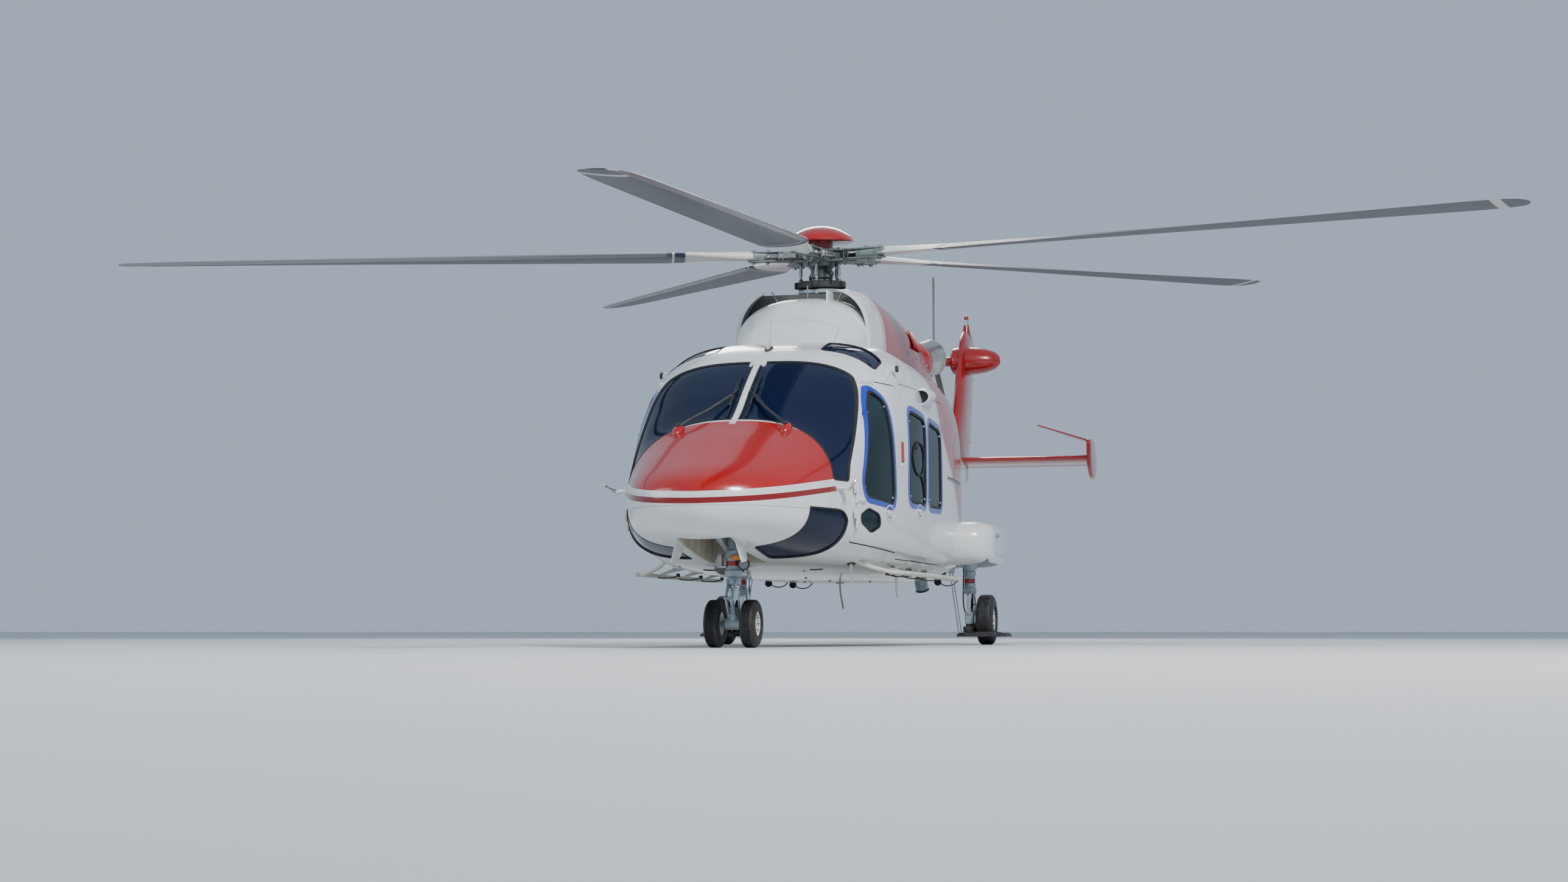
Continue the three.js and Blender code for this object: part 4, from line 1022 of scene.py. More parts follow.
class HELI_OT_shell(Operator):
    """Nose, cabin, doors and glass"""

    bl_idname = "heli.shell"
    bl_label = "Nose and cabin"

    def doors(self, skin, linings):
        door = cut(
            common(twin(skin), through(COCKPIT_DOOR, -9)),
            through(COCKPIT_WINDOW), through(QUARTER_WINDOW), dish(0),
        )
        pair("cockpit_door_skin", "livery", door, body=COCKPIT_BODY, node="cockpit_door_{side}")
        lining = cut(
            common(twin(linings), through(COCKPIT_DOOR, -40)),
            through(COCKPIT_WINDOW, 6), through(QUARTER_WINDOW, 4),
        )
        pair("cockpit_door_lining", "lining", lining, body=COCKPIT_BODY)
        slider = cut(
            common(twin(skin), through(CABIN_DOOR, -3)),
            through(FRONT_WINDOW), through(REAR_WINDOW), dish(1),
        )
        pair("sliding_door_skin", "livery", slider, node="cabin_door_{side}")

    def side_windows(self, panes, trims):
        for name, outline, body, out, inner in (
            ("cockpit_door_window", COCKPIT_WINDOW, COCKPIT_BODY, 9, -12),
            ("cabin_window_front", FRONT_WINDOW, "airframe", 9, -12),
            ("cabin_window_rear", REAR_WINDOW, "airframe", 9, -12),
            ("quarter_window", QUARTER_WINDOW, COCKPIT_BODY, 3, -8),
        ):
            framed = name != "quarter_window"
            pane = common(twin(panes), through(outline, -PANE_GAP))
            node = name + "_{side}" if framed else ""
            pair(f"{name}_pane", "side_glass", pane, body=body, node=node)
            pair(f"{name}_seal", "rubber", ring_of(trims, outline, out, inner), body=body)
            if framed:
                # the surround's blue is a painted reflection of the sky
                pair(f"{name}_surround", "blue_trim", ring_of(trims, outline, 50, 9.5), body=body)

    def execute(self, context):
        skin = cut(hull(FUSELAGE), hull(FUSELAGE, WALL, 120, 64, -3780, 3100))
        behind_glass = hull(FUSELAGE, GLASS_INSET + GLASS_THICK, 60, 96, -3900, 3150)
        panes = cut(hull(FUSELAGE, GLASS_INSET), behind_glass)
        trims = cut(hull(FUSELAGE, SEAL_OUT), hull(FUSELAGE, SEAL_IN, 60, 96, -3900, 3150))
        linings = cut(
            hull(FUSELAGE, WALL - 2, 120, 64, -3770, 3090), hull(FUSELAGE, WALL + 6, 120, 64, -3760, 3080))
        front_windows = {
            "windshield": lambda by: through(grown(WINDSHIELD, by), 0, POST_HALF - by),
            "chin_window": lambda by: common(
                prism(grown(CHIN_WINDOW, by), "z", 0, FAR), through(grown(CHIN_SIDE, by), 0, 0)),
            "roof_window": lambda by: prism(grown(ROOF_WINDOW, by), "z", ROOF_LOW, FAR),
        }
        holes = [prism(NOSE_BAY, "z", 0, NOSE_BAY_TOP)]
        for name, make in front_windows.items():
            hole = make(0)
            holes += [hole, mirrored(hole)]
            pane = common(twin(panes), make(-PANE_GAP))
            pair(f"{name}_pane", "window_glass", pane, node=name + "_{side}")
            pair(f"{name}_seal", "rubber", cut(common(twin(trims), make(7)), make(-5)))

        cap_block = slab(AHEAD, NOSE_JOINT, CAP_LOW)
        cap = cut(common(twin(skin), cap_block, keep=True), *holes, keep=True)
        settle("nose_cap_skin", "livery", cap, node="nose_cap", slot="red_paint")
        walls = cut(common(twin(linings), slab(-2900, 990, 730)), *holes[1:], keep=True)
        cut(
            walls, *[through(outline, by, -FAR) for outline, by in (
                (COCKPIT_DOOR, 14), (FRONT_WINDOW, 6), (REAR_WINDOW, 6))],
            prism(grown(NOSE_BAY, 12), "z", 0, NOSE_BAY_TOP + 20),
        )
        settle("cabin_wall_lining", "cabin_grey", walls)
        x, y = LANDING_LAMP
        lamp_wells = [rod((side * x, y, 400), (side * x, y, 660), 66, count=44) for side in (-1, 1)]
        cabin = cut(
            common(twin(skin), slab(AHEAD, CABIN_REAR)), cap_block, *holes, *lamp_wells,
            through(COCKPIT_DOOR, 0, -FAR), through(CABIN_DOOR, 3, -FAR),
        )
        settle("cabin_skin", "livery", cabin, node="cabin_shell")
        self.doors(skin, linings)
        self.side_windows(panes, trims)
        for tool in (skin, panes, trims, linings):
            bpy.data.objects.remove(tool)
        return {"FINISHED"}


class HELI_OT_rear(Operator):
    """Rear fuselage, baggage doors, cowling, exhausts and tail boom"""

    bl_idname = "heli.rear"
    bl_label = "Rear and cowling"

    def execute(self, context):
        centre, radii = SWELL
        shell = cut(add_to(hull(FUSELAGE), with_mirror(ball(centre, radii))), add_to(
            hull(FUSELAGE, REAR_WALL, 120, 64, 900, BOOM_JOINT - REAR_WALL),
            with_mirror(ball(centre, [radius - REAR_WALL for radius in radii])),
        ))
        rear = cut(common(twin(shell), slab(CABIN_REAR, BOOM_JOINT + 10)), through(BAGGAGE_DOOR, 0, -FAR))
        settle("rear_skin", "livery", rear, node="rear_fuselage", slot="red_paint")
        door = common(shell, through(BAGGAGE_DOOR, -10))
        pair(
            "baggage_door_skin", "livery", door, body="baggage_door_{side}_body",
            node="baggage_door_{side}", slot="red_paint",
        )

        cowl = cut(hull(COWLING, 0, 50, 80), hull(COWLING, COWL_WALL, 90, 56, None, 3350))
        hump = cut(hull(HUMP, 0, 45, 80), hull(HUMP, COWL_WALL, 90, 56, -1330))
        strut = common(box((206, -760, 2800), (224, -400, 3030)), hull(COWLING, 0, 90, 56))
        add_to(cowl, hump, cut(strut, hull(HUMP, 20, 90, 56)))
        start, reach, radius = EXHAUST_START, EXHAUST_END - EXHAUST_START, EXHAUST_RADIUS
        hole = rod(start - reach * 0.01, start + reach * 1.1, radius + 6, count=48)
        mast_hole = rod((0, MAIN_HUB[1], 2600), MAIN_HUB, 260, count=64)
        cut(cowl, mast_hole, hull(FUSELAGE, 0, 120, 96), hole, mirrored(hole))
        common(cowl, slab(-1430, BOOM_JOINT, 2120))
        settle("cowling_skin", "livery", cowl, node="engine_cowling")

        length = reach.length
        pipe = turned([
            (0, 0), (radius - 4, 0), (radius, 6), (radius, length - 30), (radius + 6, length - 18),
            (radius + 6, length - 4), (radius + 2, length), (radius - 6, length - 2),
            (radius - 10, length - 40), (radius - 12, 60), (radius - 30, 40), (0, 40),
        ], start, reach, 56)
        pair("exhaust_pipe", "hot_steel", pipe, node="exhaust_{side}")
        boom = cut(hull(BOOM, 0, 60, 80), hull(BOOM, BOOM_WALL, 200, 48, None, 6900))
        settle("boom_skin", "livery", common(boom, slab(BOOM_JOINT + 1, 9000)), node="tail_boom")
        return {"FINISHED"}


def fin_ring(row, grow=0):
    z, front, rear, half = row
    return [(t * (half + grow), front - grow + (rear + grow * 2 - front) * c, z) for c, t in FOIL]


def stab_ring(row):
    x, front, rear, z, thick, fall = row
    return [(x, front + (rear - front) * c, z + t * thick / 2 - fall * c) for c, t in FOIL]


class HELI_OT_tail(Operator):
    """Fin, stabiliser and tail gearbox"""

    bl_idname = "heli.tail"
    bl_label = "Tail"

    def execute(self, context):
        rows = rows_of(FIN, 60)
        fairing = turned([
            (0, -458), (30, -456), (52, -448), (76, -426), (100, -400), (124, -346), (142, -290), (156, -220),
            (165, -150), (173, -75), (176, 0), (171, 60), (160, 110), (120, 140), (60, 150), (48, 320),
            (0, 320),
        ], TAIL_HUB_AXIS, (-1, 0, 0), 56)
        fin = cut(loft([fin_ring(row) for row in rows]), hull(BOOM, -1, 60, 80))
        settle("fin_skin", "plain_red", cut(fin, fairing, keep=True), node="fin")
        settle("tail_gearbox_fairing", "plain_red", fairing, node="tail_gearbox")
        stab = add_to(
            loft([stab_ring(row) for row in STAB]), prism(END_PLATE, "x", 1584, 1632, 16, 4),
            loft([stab_ring(row) for row in WINGLET]),
        )
        cut(stab, hull(BOOM, -1, 60, 80), loft([fin_ring(row, 1) for row in rows]))
        stab = common(stab, box((1, 0, 0), (FAR, 9000, FAR)))
        pair("stabiliser_skin", "plain_red", stab, node="stabiliser_{side}")
        return {"FINISHED"}


ROTOR_FRAME = shift(*MAIN_HUB) @ spin(MAST_TILT, "X")


def round_mast(k):
    """Frame of a blade on the rotor's head."""
    return ROTOR_FRAME @ spin(360 * k / BLADE_COUNT + FIRST_BLADE, "Z")


def on_mast(profile, count=64):
    return turned(profile, MAIN_HUB, ROTOR_FRAME.to_3x3() @ Vector((0, 0, 1)), count)


def blade(table, matrix, step):
    """Aerofoil blade along a frame's x.

    Its attributes hold the reach in metres and the chord's fraction for the finish."""
    rings, facts = [], []
    for reach, chord, thick, twist in rows_of(table, step):
        turn = Matrix.Rotation(radians(twist), 3, "X")
        for c, t in FOIL:
            facts.append((turn @ Vector((0, (0.5 - c) * chord, t * thick / 2)) + Vector((reach, 0, 0)), c))
        rings.append([matrix @ point for point, _ in facts[-len(FOIL):]])
    piece = loft(rings)
    tree = KDTree(len(facts))
    for i, (point, _) in enumerate(facts):
        tree.insert(spot(matrix @ point), i)
    tree.balance()
    nearest = [facts[tree.find(vertex.co)[1]] for vertex in piece.data.vertices]
    reaches, chords = [point.x * MM for point, _ in nearest], [c for _, c in nearest]
    for key, values in (("reach", reaches), ("chord", chords)):
        piece.data.attributes.new(key, "FLOAT", "POINT").data.foreach_set("value", values)
    return piece


class HELI_OT_rotor(Operator):
    """Main rotor with its head"""

    bl_idname = "heli.rotor"
    bl_label = "Main rotor"

    def star(self, low, high):
        """Plate with a lobe towards each blade."""
        points = []
        for k in range(BLADE_COUNT):
            for offset, radius in ((-26, 178), (-15, 268), (15, 268), (26, 178)):
                points += arc(radius, radius, [360 * k / BLADE_COUNT + FIRST_BLADE + offset])
        return carry(prism((points, 26), "z", low, high, 4, 3), ROTOR_FRAME)

    def grip(self):
        """Plates that hold a blade, with its bearing and horn."""
        outline = (twofold([(205, -52), (330, -76), (560, -66), (638, -44)], False), 22)
        return [
            *[prism(outline, "z", low, low + 15, 4, 3) for low in (32, -47)],
            prism((twofold([(380, -54), (660, -62)], False), 14), "z", -31, 31, 6, 3),
            bar("z", (300, 62, -38), (182, 6, -38), 34, 26, 9),
            turned([
                (0, 0), (60, 0), (64, 4), (64, 12), (58, 14), (58, 18), (66, 20), (66, 28), (58, 30),
                (58, 34), (68, 36), (68, 46), (58, 48), (58, 52), (62, 54), (62, 66), (0, 66),
            ], (150, 0, 0), (1, 0, 0), 32),
        ]

    def bolts(self):
        """Bolts of a grip, and the damper between the hub and the grip."""
        made = []
        for x, y, r in ((470, 26, 17), (470, -26, 17), (596, 0, 20), (252, 30, 11), (252, -30, 11)):
            made.append(turned([
                (0, -66), (r * 0.7, -66), (r * 0.7, -56), (r, -55), (r, -48), (r * 0.6, -47),
                (r * 0.6, 47), (r, 48), (r, 60), (r * 0.86, 63), (0, 63),
            ], (x, y, 0), count=18))
        start, end = Vector((190, 150, -4)), Vector((470, 62, -4))
        made.append(turned([
            (0, 30), (26, 30), (34, 38), (34, 150), (30, 156), (30, 166), (34, 172), (34, 196), (24, 204),
            (14, 206), (14, 280), (0, 280),
        ], start, end - start, 28))
        return made + [ball(place, (26, 26, 22)) for place in (start, end)]

    def swashplate(self):
        """Fixed ring under the turning one, with its three servo rods."""
        parts = [on_mast([
            (84, -336), (196, -336), (204, -330), (204, -304), (196, -298), (84, -298), (84, -336),
        ])]
        for k in range(3):
            parts += carry_all(ROTOR_FRAME @ spin(120 * k + 30, "Z"), [
                rod((196, 0, -900), (196, 0, -440), 34), rod((196, 0, -445), (196, 0, -345), 15),
                ball((196, 0, -330), (26, 22, 22)),
            ])
        settle("swashplate_fixed_ring", "gear_paint", *parts)

    def control_ring(self, body):
        ring = on_mast([
            (74, -290), (205, -290), (215, -282), (215, -234), (205, -225), (74, -225), (74, -290),
        ])
        lugs, links = [], []
        for k in range(BLADE_COUNT):
            lugs += carry_all(round_mast(k), [box((176, -24, -288), (236, 24, -228), 8, 3)])
            links += carry_all(round_mast(k), [turned([
                (0, 0), (20, 4), (22, 16), (14, 26), (11, 34), (11, 52), (16, 54), (16, 118), (11, 120),
                (11, 138), (14, 146), (22, 156), (20, 168), (0, 172),
            ], (180, 0, -229), count=20)])
        for k in (0.5, 3.0):
            lugs += carry_all(round_mast(k), [
                bar("y", (96, -110, 0), (232, -172, 0), 26, 18, 16),
                bar("y", (232, -172, 0), (206, -240, 0), 18, 18, 10),
            ])
        settle("control_ring_plate", "dark_composite", ring, *lugs, body=body, node="control_ring")
        settle("pitch_links", "steel", *links, body=body)

    def execute(self, context):
        body = "main_rotor"
        parts = [
            on_mast([
                (0, -469), (72, -469), (72, -200), (92, -188), (92, -120), (120, -90), (120, -52), (120, 60),
                (0, 60),
            ]),
            self.star(-56, -34), self.star(34, 56),
        ]
        bright = []
        for k in range(BLADE_COUNT):
            parts += carry_all(round_mast(k), self.grip())
            bright += carry_all(round_mast(k), self.bolts())
        settle("rotor_head_hub", "hub_metal", *parts, body=body, node="rotor_head")
        settle("rotor_head_bolts", "steel", *bright, body=body)
        self.swashplate()
        cap = on_mast([
            (0, 56), (110, 56), (110, 120), (278, 117), (288, 122), (292, 132), (286, 146), (272, 164),
            (255, 180), (220, 204), (180, 226), (136, 244), (90, 256), (45, 262), (0, 264),
        ], 72)
        settle("rotor_cap_shell", "plain_red", cap, body=body, node="rotor_cap")
        self.control_ring(body)
        for k in range(BLADE_COUNT):
            piece = blade(MAIN_BLADE, round_mast(k), 120)
            settle(f"main_blade_skin_{k + 1}", "blade_grey", piece, body=body, node=f"main_blade_{k + 1}")
        return {"FINISHED"}


class HELI_OT_tail_rotor(Operator):
    """Tail rotor"""

    bl_idname = "heli.tail_rotor"
    bl_label = "Tail rotor"

    def execute(self, context):
        fittings = [turned(profile, TAIL_HUB_AXIS, (-1, 0, 0), count) for profile, count in (
            ([
                (0, 321), (46, 321), (50, 326), (50, 336), (78, 338), (80, 342), (80, 384), (76, 390),
                (52, 394), (50, 402), (36, 406), (34, 430), (26, 434), (24, 440), (0, 440),
            ], 48),
            ([
                (0, 462), (24, 462), (28, 468), (66, 470), (70, 474), (70, 482), (66, 486), (30, 488),
                (22, 494), (0, 494),
            ], 36),
            ([(0, 420), (15, 420), (15, 470), (0, 470)], 24),
        )]
        blades = []
        along_z = Matrix(((0, 0, 1), (0, -1, 0), (1, 0, 0))).to_4x4()
        grip = (twofold([(44, -36), (150, -44), (206, -30)], False), 14)
        for k in range(TAIL_BLADES):
            at = shift(*TAIL_HUB) @ spin(360 * k / TAIL_BLADES, "X") @ along_z
            blades.append(blade(TAIL_BLADE, at, 60))
            fittings += carry_all(at, [
                *[prism(grip, "z", low, low + 9, 3) for low in (15, -24)],
                rod((44, 0, 0), (150, 0, 0), 26, 20, count=28),
                *[rod((reach, y, -31), (reach, y, 30), 8, count=14)
                  for reach in (172, 128) for y in (-16, 16)],
                bar("z", (96, 34, -22), (62, 66, -30), 16, 12, 5),
                rod((62, 66, -30), (52, 40, -112), 7, count=14),
                *[ball(place, (12, 12, 10)) for place in ((62, 66, -34), (52, 40, -114))],
            ])
        body = "tail_rotor_disc"
        settle("tail_rotor_blades", "tail_blade_grey", *blades, body=body, node="tail_rotor")
        settle("tail_rotor_hub", "hub_metal", *fittings, body=body)
        return {"FINISHED"}


def barrel(x, y, rows):
    """Upright turned piece. Rows are radius and height."""
    return turned(rows, (x, y, 0), count=44)


def torque_links(x, y, high, low, reach, gap):
    """Two pairs of flat bars with a pin through their knee."""
    knee = (y + reach, (high + low) / 2)
    made = [
        rod((x - gap - over, *at), (x + gap + over, *at), 11) for over, at in (
            (12, knee), (10, (y + reach * 0.36, high)), (10, (y + reach * 0.3, low)))
    ]
    for side in (-1, 1):
        depth = x + side * gap
        made.append(bar("x", (y + reach * 0.3, high, depth), (*knee, depth), 22, 15, 6))
        made.append(bar("x", (y + reach * 0.26, low, depth), (*knee, depth), 20, 15, 6))
    return made


def wheel(name, centre, radius, width, inset, cap, ring, body, node=""):
    """Tyre, hub and hub bolts of a wheel and of its twin on the other side."""
    x, y, z = centre
    half, rim, low = width / 2, radius * 0.52, width / 2 - inset
    tread = [
        (rim, 14 - low), (rim, -half), (radius * 0.6, -half), (radius * 0.8, -half * 0.99),
        (radius * 0.9, -half * 0.9), (radius * 0.965, -half * 0.74), (radius - 1, -half * 0.56),
    ]
    for offset in (-0.42, -0.14):
        for deep, along in ((1, -5), (8, -3), (8, 3), (1, 5)):
            tread.append((radius - deep, half * offset + along))
    tyre_piece = turned([*twofold(tread, False), tread[0]], centre, (1, 0, 0), 72)
    pair(f"{name}_tyre", "tyre", tyre_piece, body=body, node=node)
    cap_half, cap_radius = cap
    outer = [
        (rim + 4, low + 6), (rim, low + 4), (rim * 0.86, low), (rim * 0.7, low - 14),
        (cap_radius, low - 8), (cap_radius, cap_half - 6), (cap_radius - 6, cap_half), (0, cap_half),
    ]
    inner = [(r, -along) for r, along in reversed(outer)]
    hub = turned([*inner, (rim + 4, 0), *outer], centre, (1, 0, 0), 56)
    pair(f"{name}_wheel_hub", "plain_white", hub, body=body, slot="gear_metal")
    bolt_ring, depth, size = ring
    bolt = [(0, 0), (size * 1.5, 0), (size * 1.5, 9), (size, 10), (size, 17), (size * 0.8, 19), (0, 19)]
    pair(f"{name}_wheel_bolts", "steel", *[
        turned(bolt, (x + depth - 8, y + a, z + b), (1, 0, 0), 6)
        for a, b in arc(bolt_ring, bolt_ring, range(0, 360, 45))], body=body)


class HELI_OT_undercarriage(Operator):
    """Sponsons, legs, wheels, snow pads and steps"""

    bl_idname = "heli.undercarriage"
    bl_label = "Undercarriage"

    def main_leg(self, x, y):
        leg = [
            barrel(x, y, [
                (0, 462), (52, 462), (60, 470), (60, 512), (52, 522), (50, 530), (50, 622), (56, 630),
                (56, 664), (50, 672), (50, 690), (62, 706), (66, 730), (66, 770), (58, 800), (56, 1034),
                (0, 1034),
            ]),
            box((x - 42, y - 42, 182), (x + 42, y + 42, 276), 14, 3),
            barrel(x, y, [(0, 262), (44, 262), (48, 270), (48, 292), (42, 298), (0, 298)]),
            rod((x, y - 30, 720), (x, 860, 1015), 26), rod((x, 1150, 832), (x, 1060, 888), 33),
            rod((x - 95, y, 985), (x + 110, y, 985), 34), *torque_links(x, y, 486, 246, 150, 30),
        ]
        pair("main_leg_strut", "gear_paint", *leg, node="main_leg_{side}")
        pair("main_leg_piston", "chrome", barrel(x, y, [
            (0, 258), (34, 258), (34, 448), (38, 450), (40, 454), (40, 466), (34, 470), (0, 475),
        ]))
        band = [(50, 560), (51.2, 561), (51.2, 599), (50, 600), (50, 560)]
        pair("main_leg_band", "plain_red", barrel(x, y, band))
        pair(
            "main_leg_hoses", "rubber",
            tube([(x - 56, y + 30, 980), (x - 66, y + 44, 800), (x - 64, y + 40, 640), (x - 70, y + 50, 470),
                  (x - 62, y + 52, 330), (x - 20, y + 46, 240)], 6, 10),
            tube([(x + 40, y + 40, 980), (x + 58, y + 46, 820), (x + 50, y + 42, 690)], 5, 10),
        )
        pair("main_leg_clamps", "steel", *[
            barrel(x, y, [(r, h), (r + 4, h + 1), (r + 4, h + 15), (r, h + 16), (r, h)])
            for r, h in ((56, 905), (50, 540), (56, 830))])
        pair("snow_pad_stays", "steel", *[
            rod((top, STAY_Y, 690), (foot, STAY_Y + 14, 92), 5, count=12)
            for top, foot in ((925, 1006), (948, 1032))
        ], box((905, STAY_Y - 24, 650), (968, STAY_Y + 24, 720), 6))

    def main_gear(self):
        x, y, z = MAIN_WHEEL
        self.main_leg(LEG_X, y)
        pair("main_axle", "steel", turned([
            (0, 0), (30, 0), (30, 40), (40, 44), (40, 60), (34, 64), (34, 84), (26, 88), (26, 95), (0, 95),
        ], (LEG_X, y, z), (1, 0, 0), 40))
        body, node = "main_wheel_{side}_body", "main_wheel_{side}"
        wheel("main", MAIN_WHEEL, 228, 150, 20, (55, 40), (74, 58, 6), body, node)
        pair("main_brake_disc", "steel", turned([
            (44, -16), (92, -16), (94, -14), (94, 2), (92, 4), (44, 4), (44, -16),
        ], (x - 88, y, z), (1, 0, 0)))
        pair(
            "main_brake_caliper", "gear_paint",
            box((x - 124, y + 40, z + 40), (x - 80, y + 108, z + 92), 10, 3),
            box((LEG_X - 10, y + 20, z + 10), (x - 96, y + 70, z + 50), 8, 3),
        )

    def snow_pad(self, y):
        pad = prism(([
            (985, 1150), (1060, 1045), (1360, 1045), (1445, 1150), (1445, 1490), (1360, 1625), (1060, 1625),
            (985, 1490),
        ], 26), "z", 74, 98)
        hole = (corners(1152, 1105, 1328, 1515), 40)
        bevel(cut(pad, prism(hole, "z", 0, 200)), 6, 3)
        rim = cut(prism(grown(hole, 16), "z", 96, 118), prism(grown(hole, 7), "z", 0, 200))
        edge = cut(prism(([
            (1000, 1158), (1068, 1062), (1352, 1062), (1430, 1158), (1430, 1482), (1352, 1608), (1068, 1608),
            (1000, 1482),
        ], 26), "z", 96, 108), prism(([
            (1012, 1164), (1075, 1074), (1345, 1074), (1418, 1164), (1418, 1476), (1345, 1596), (1075, 1596),
            (1012, 1476),
        ], 26), "z", 0, 200))
        pair(
            "snow_pad_plate", "dark_composite", pad, bevel(rim, 3), bevel(edge, 3),
            *[box((1040, y + at - 8, 96), (1140, y + at + 8, 168), 5) for at in (-96, 96)],
            box((1036, y - 100, 118), (1060, y + 100, 160), 6),
            barrel(LEG_X, y, [(0, 78), (44, 78), (44, 120), (38, 128), (38, 186), (0, 186)]),
            node="snow_pad_{side}",
        )
        pair("snow_pad_bolts", "steel", *[rod((a, b, 96), (a, b, 112), 10, count=12) for a, b in (
            (1030, 1190), (1030, 1450), (1075, 1100), (1075, 1570), (1345, 1100), (1345, 1570), (1400, 1190),
            (1400, 1450))])

    def nose_leg(self, y):
        braces = []
        for side in (-1, 1):
            braces += [
                rod((side * 34, y, 700), (side * 188, y - 560, 1120), 20),
                rod((side * 66, y - 118, 789), (side * 104, y - 258, 893), 26),
                rod((side * 40, y, 1090), (side * 200, y, 1090), 30),
            ]
        settle("nose_leg_strut", "gear_paint", barrel(0, y, [
            (0, 523), (58, 523), (66, 530), (66, 566), (58, 576), (56, 590), (56, 668), (70, 676), (70, 716),
            (60, 726), (56, 740), (52, 1163), (0, 1163),
        ]), *braces, node="nose_leg")
        band = [(56, 606), (57.4, 607), (57.4, 640), (56, 641), (56, 606)]
        settle("nose_leg_band", "plain_red", barrel(0, y, band))
        tag = box((10, y - 92, 648), (104, y - 84, 682), 3)
        settle("nose_leg_tag", "orange_tag", tag, rod((0, y - 96, 665), (0, y - 50, 665), 7))
        settle(
            "nose_steering_motor", "steel", rod((-96, y - 40, 600), (-96, y - 40, 690), 30, count=28),
            box((-110, y - 60, 590), (-40, y - 10, 612), 5), rod((60, y - 20, 610), (96, y - 56, 620), 8),
        )
        place, way = (98, y - 30, 620), (0, -1, -0.12)
        settle("taxi_lamp", "dark_composite", turned([
            (0, 0), (20, 2), (38, 16), (44, 34), (44, 52), (40, 52), (38, 44), (0, 44),
        ], place, way, 36))
        lens = turned([(0, 43), (37, 43), (36, 49), (20, 54), (0, 56)], place, way, 36)
        settle("taxi_lamp_lens", "lamp_glass", lens)
        settle("nose_leg_hose", "rubber", tube([
            (40, y + 40, 1090), (58, y + 50, 900), (64, y + 46, 740), (66, y + 40, 620),
            (60, y + 44, 560),
        ], 6, 10))

    def nose_gear(self):
        x, y, z = NOSE_WHEEL
        self.nose_leg(y)
        boss = [(22, -60), (40, -60), (46, -54), (46, 54), (40, 60), (22, 60), (22, -60)]
        settle(
            "nose_fork_boss", "gear_paint", turned(boss, (0, y, z), (1, 0, 0)),
            barrel(0, y, [(0, 200), (44, 200), (46, 240), (42, 286), (40, 298), (0, 298)]),
            barrel(0, y, [(38, 462), (54, 464), (58, 472), (58, 506), (52, 517), (38, 519), (38, 462)]),
            *torque_links(0, y, 486, 240, -130, 24), body="nose_steering", node="nose_fork",
        )
        settle("nose_piston", "chrome", barrel(0, y, [
            (0, 290), (38, 290), (38, 440), (42, 443), (44, 447), (44, 458), (38, 462), (0, 520),
        ]), body="nose_steering")
        for side, word in ((-1, "right"), (1, "left")):
            door = prism(([(-3655, 0), (-3400, 0), (-3440, -120), (-3600, -170)], 24), "x", -3, 3)
            place = shift(side * 214, 0, 776) @ spin(-side * 16, "Y") @ shift(0, -3650, 0) @ spin(-12, "X")
            settle(f"nose_bay_door_{word}", "plain_white", bevel(carry(door, place @ shift(0, 3650, 0)), 2))
        half = [(0, -x), (20, -x), (20, -74), (27, -70), (27, -66), (20, -63)]
        axle = turned(twofold(half, False), (0, y, z), (1, 0, 0), 32)
        body = "nose_wheel_pair"
        settle("nose_axle", "steel", axle, body=body, node="nose_wheels", slot="tyre_rubber")
        wheel("nose", NOSE_WHEEL, 178, 112, 14, (38, 34), (62, 41, 5), body)

    def bay_fittings(self, y):
        """Retraction jack, valve boxes and hoses in the nose bay."""
        settle(
            "nose_bay_jack", "gear_paint", rod((70, y - 480, 1120), (58, y - 170, 960), 26),
            rod((58, y - 175, 962), (40, y - 40, 880), 14),
            rod((-170, y - 480, 1120), (170, y - 480, 1120), 16),
        )
        settle("nose_bay_boxes", "dark_composite", *[box(low, high, 8) for low, high in (
            ((-150, y - 330, 1085), (-40, y - 200, 1160)), ((96, y - 300, 1060), (170, y - 190, 1160)),
            ((-170, y - 640, 1040), (-90, y - 560, 1160)),
        )])
        settle("nose_bay_hoses", "rubber", *[tube(points, radius, 12) for points, radius in (
            ([(-100, y - 260, 1090), (-120, y - 180, 1010), (-80, y - 90, 960), (-60, y - 30, 900)], 8),
            ([(130, y - 240, 1070), (150, y - 140, 980), (110, y - 60, 900), (62, y - 20, 840)], 7),
            ([(-130, y - 600, 1050), (-60, y - 560, 1000), (20, y - 520, 1040), (60, y - 480, 1100)], 7),
        )])

    def steps(self):
        parts = [
            prism(([
                (1015, -1790), (1118, -1830), (1172, -800), (1168, 240), (1090, 430), (1010, 430),
                (1060, 200), (1066, -800),
            ], 20), "z", 560, 590, 10, 4),
            tube([(1066, -1810, 575), (1000, -1905, 580), (850, -2050, 622), (738, -2195, 680)], 17, 20),
        ]
        stays = []
        for y in (-1400, -740, -80):
            web = prism(([(14, -14), (14, 14), (-196, 160), (-196, -160)], 14), "z", -4, 4, 2)
            parts.append(carry(web, shift(1066, y, 573) @ spin(17, "Y")))
            cable = [(1074, y - 14, 566), (1020, y - 30, 556), (940, y - 40, 556), (870, y - 44, 572)]
            stays += [tube(cable, 5, 10), rod((870, y - 44, 566), (870, y - 44, 592), 16, count=16)]
        pair("side_step", "step_paint", *parts, node="step_{side}")
        pair("side_step_stays", "dark_composite", *stays)
        grip = [(1066, -1760), (1118, -1780), (1166, -800), (1162, 200), (1075, 200), (1078, -800)]
        pair("side_step_grip", "rubber", prism(grown((grip, 16), -6), "z", 589, 592.5))

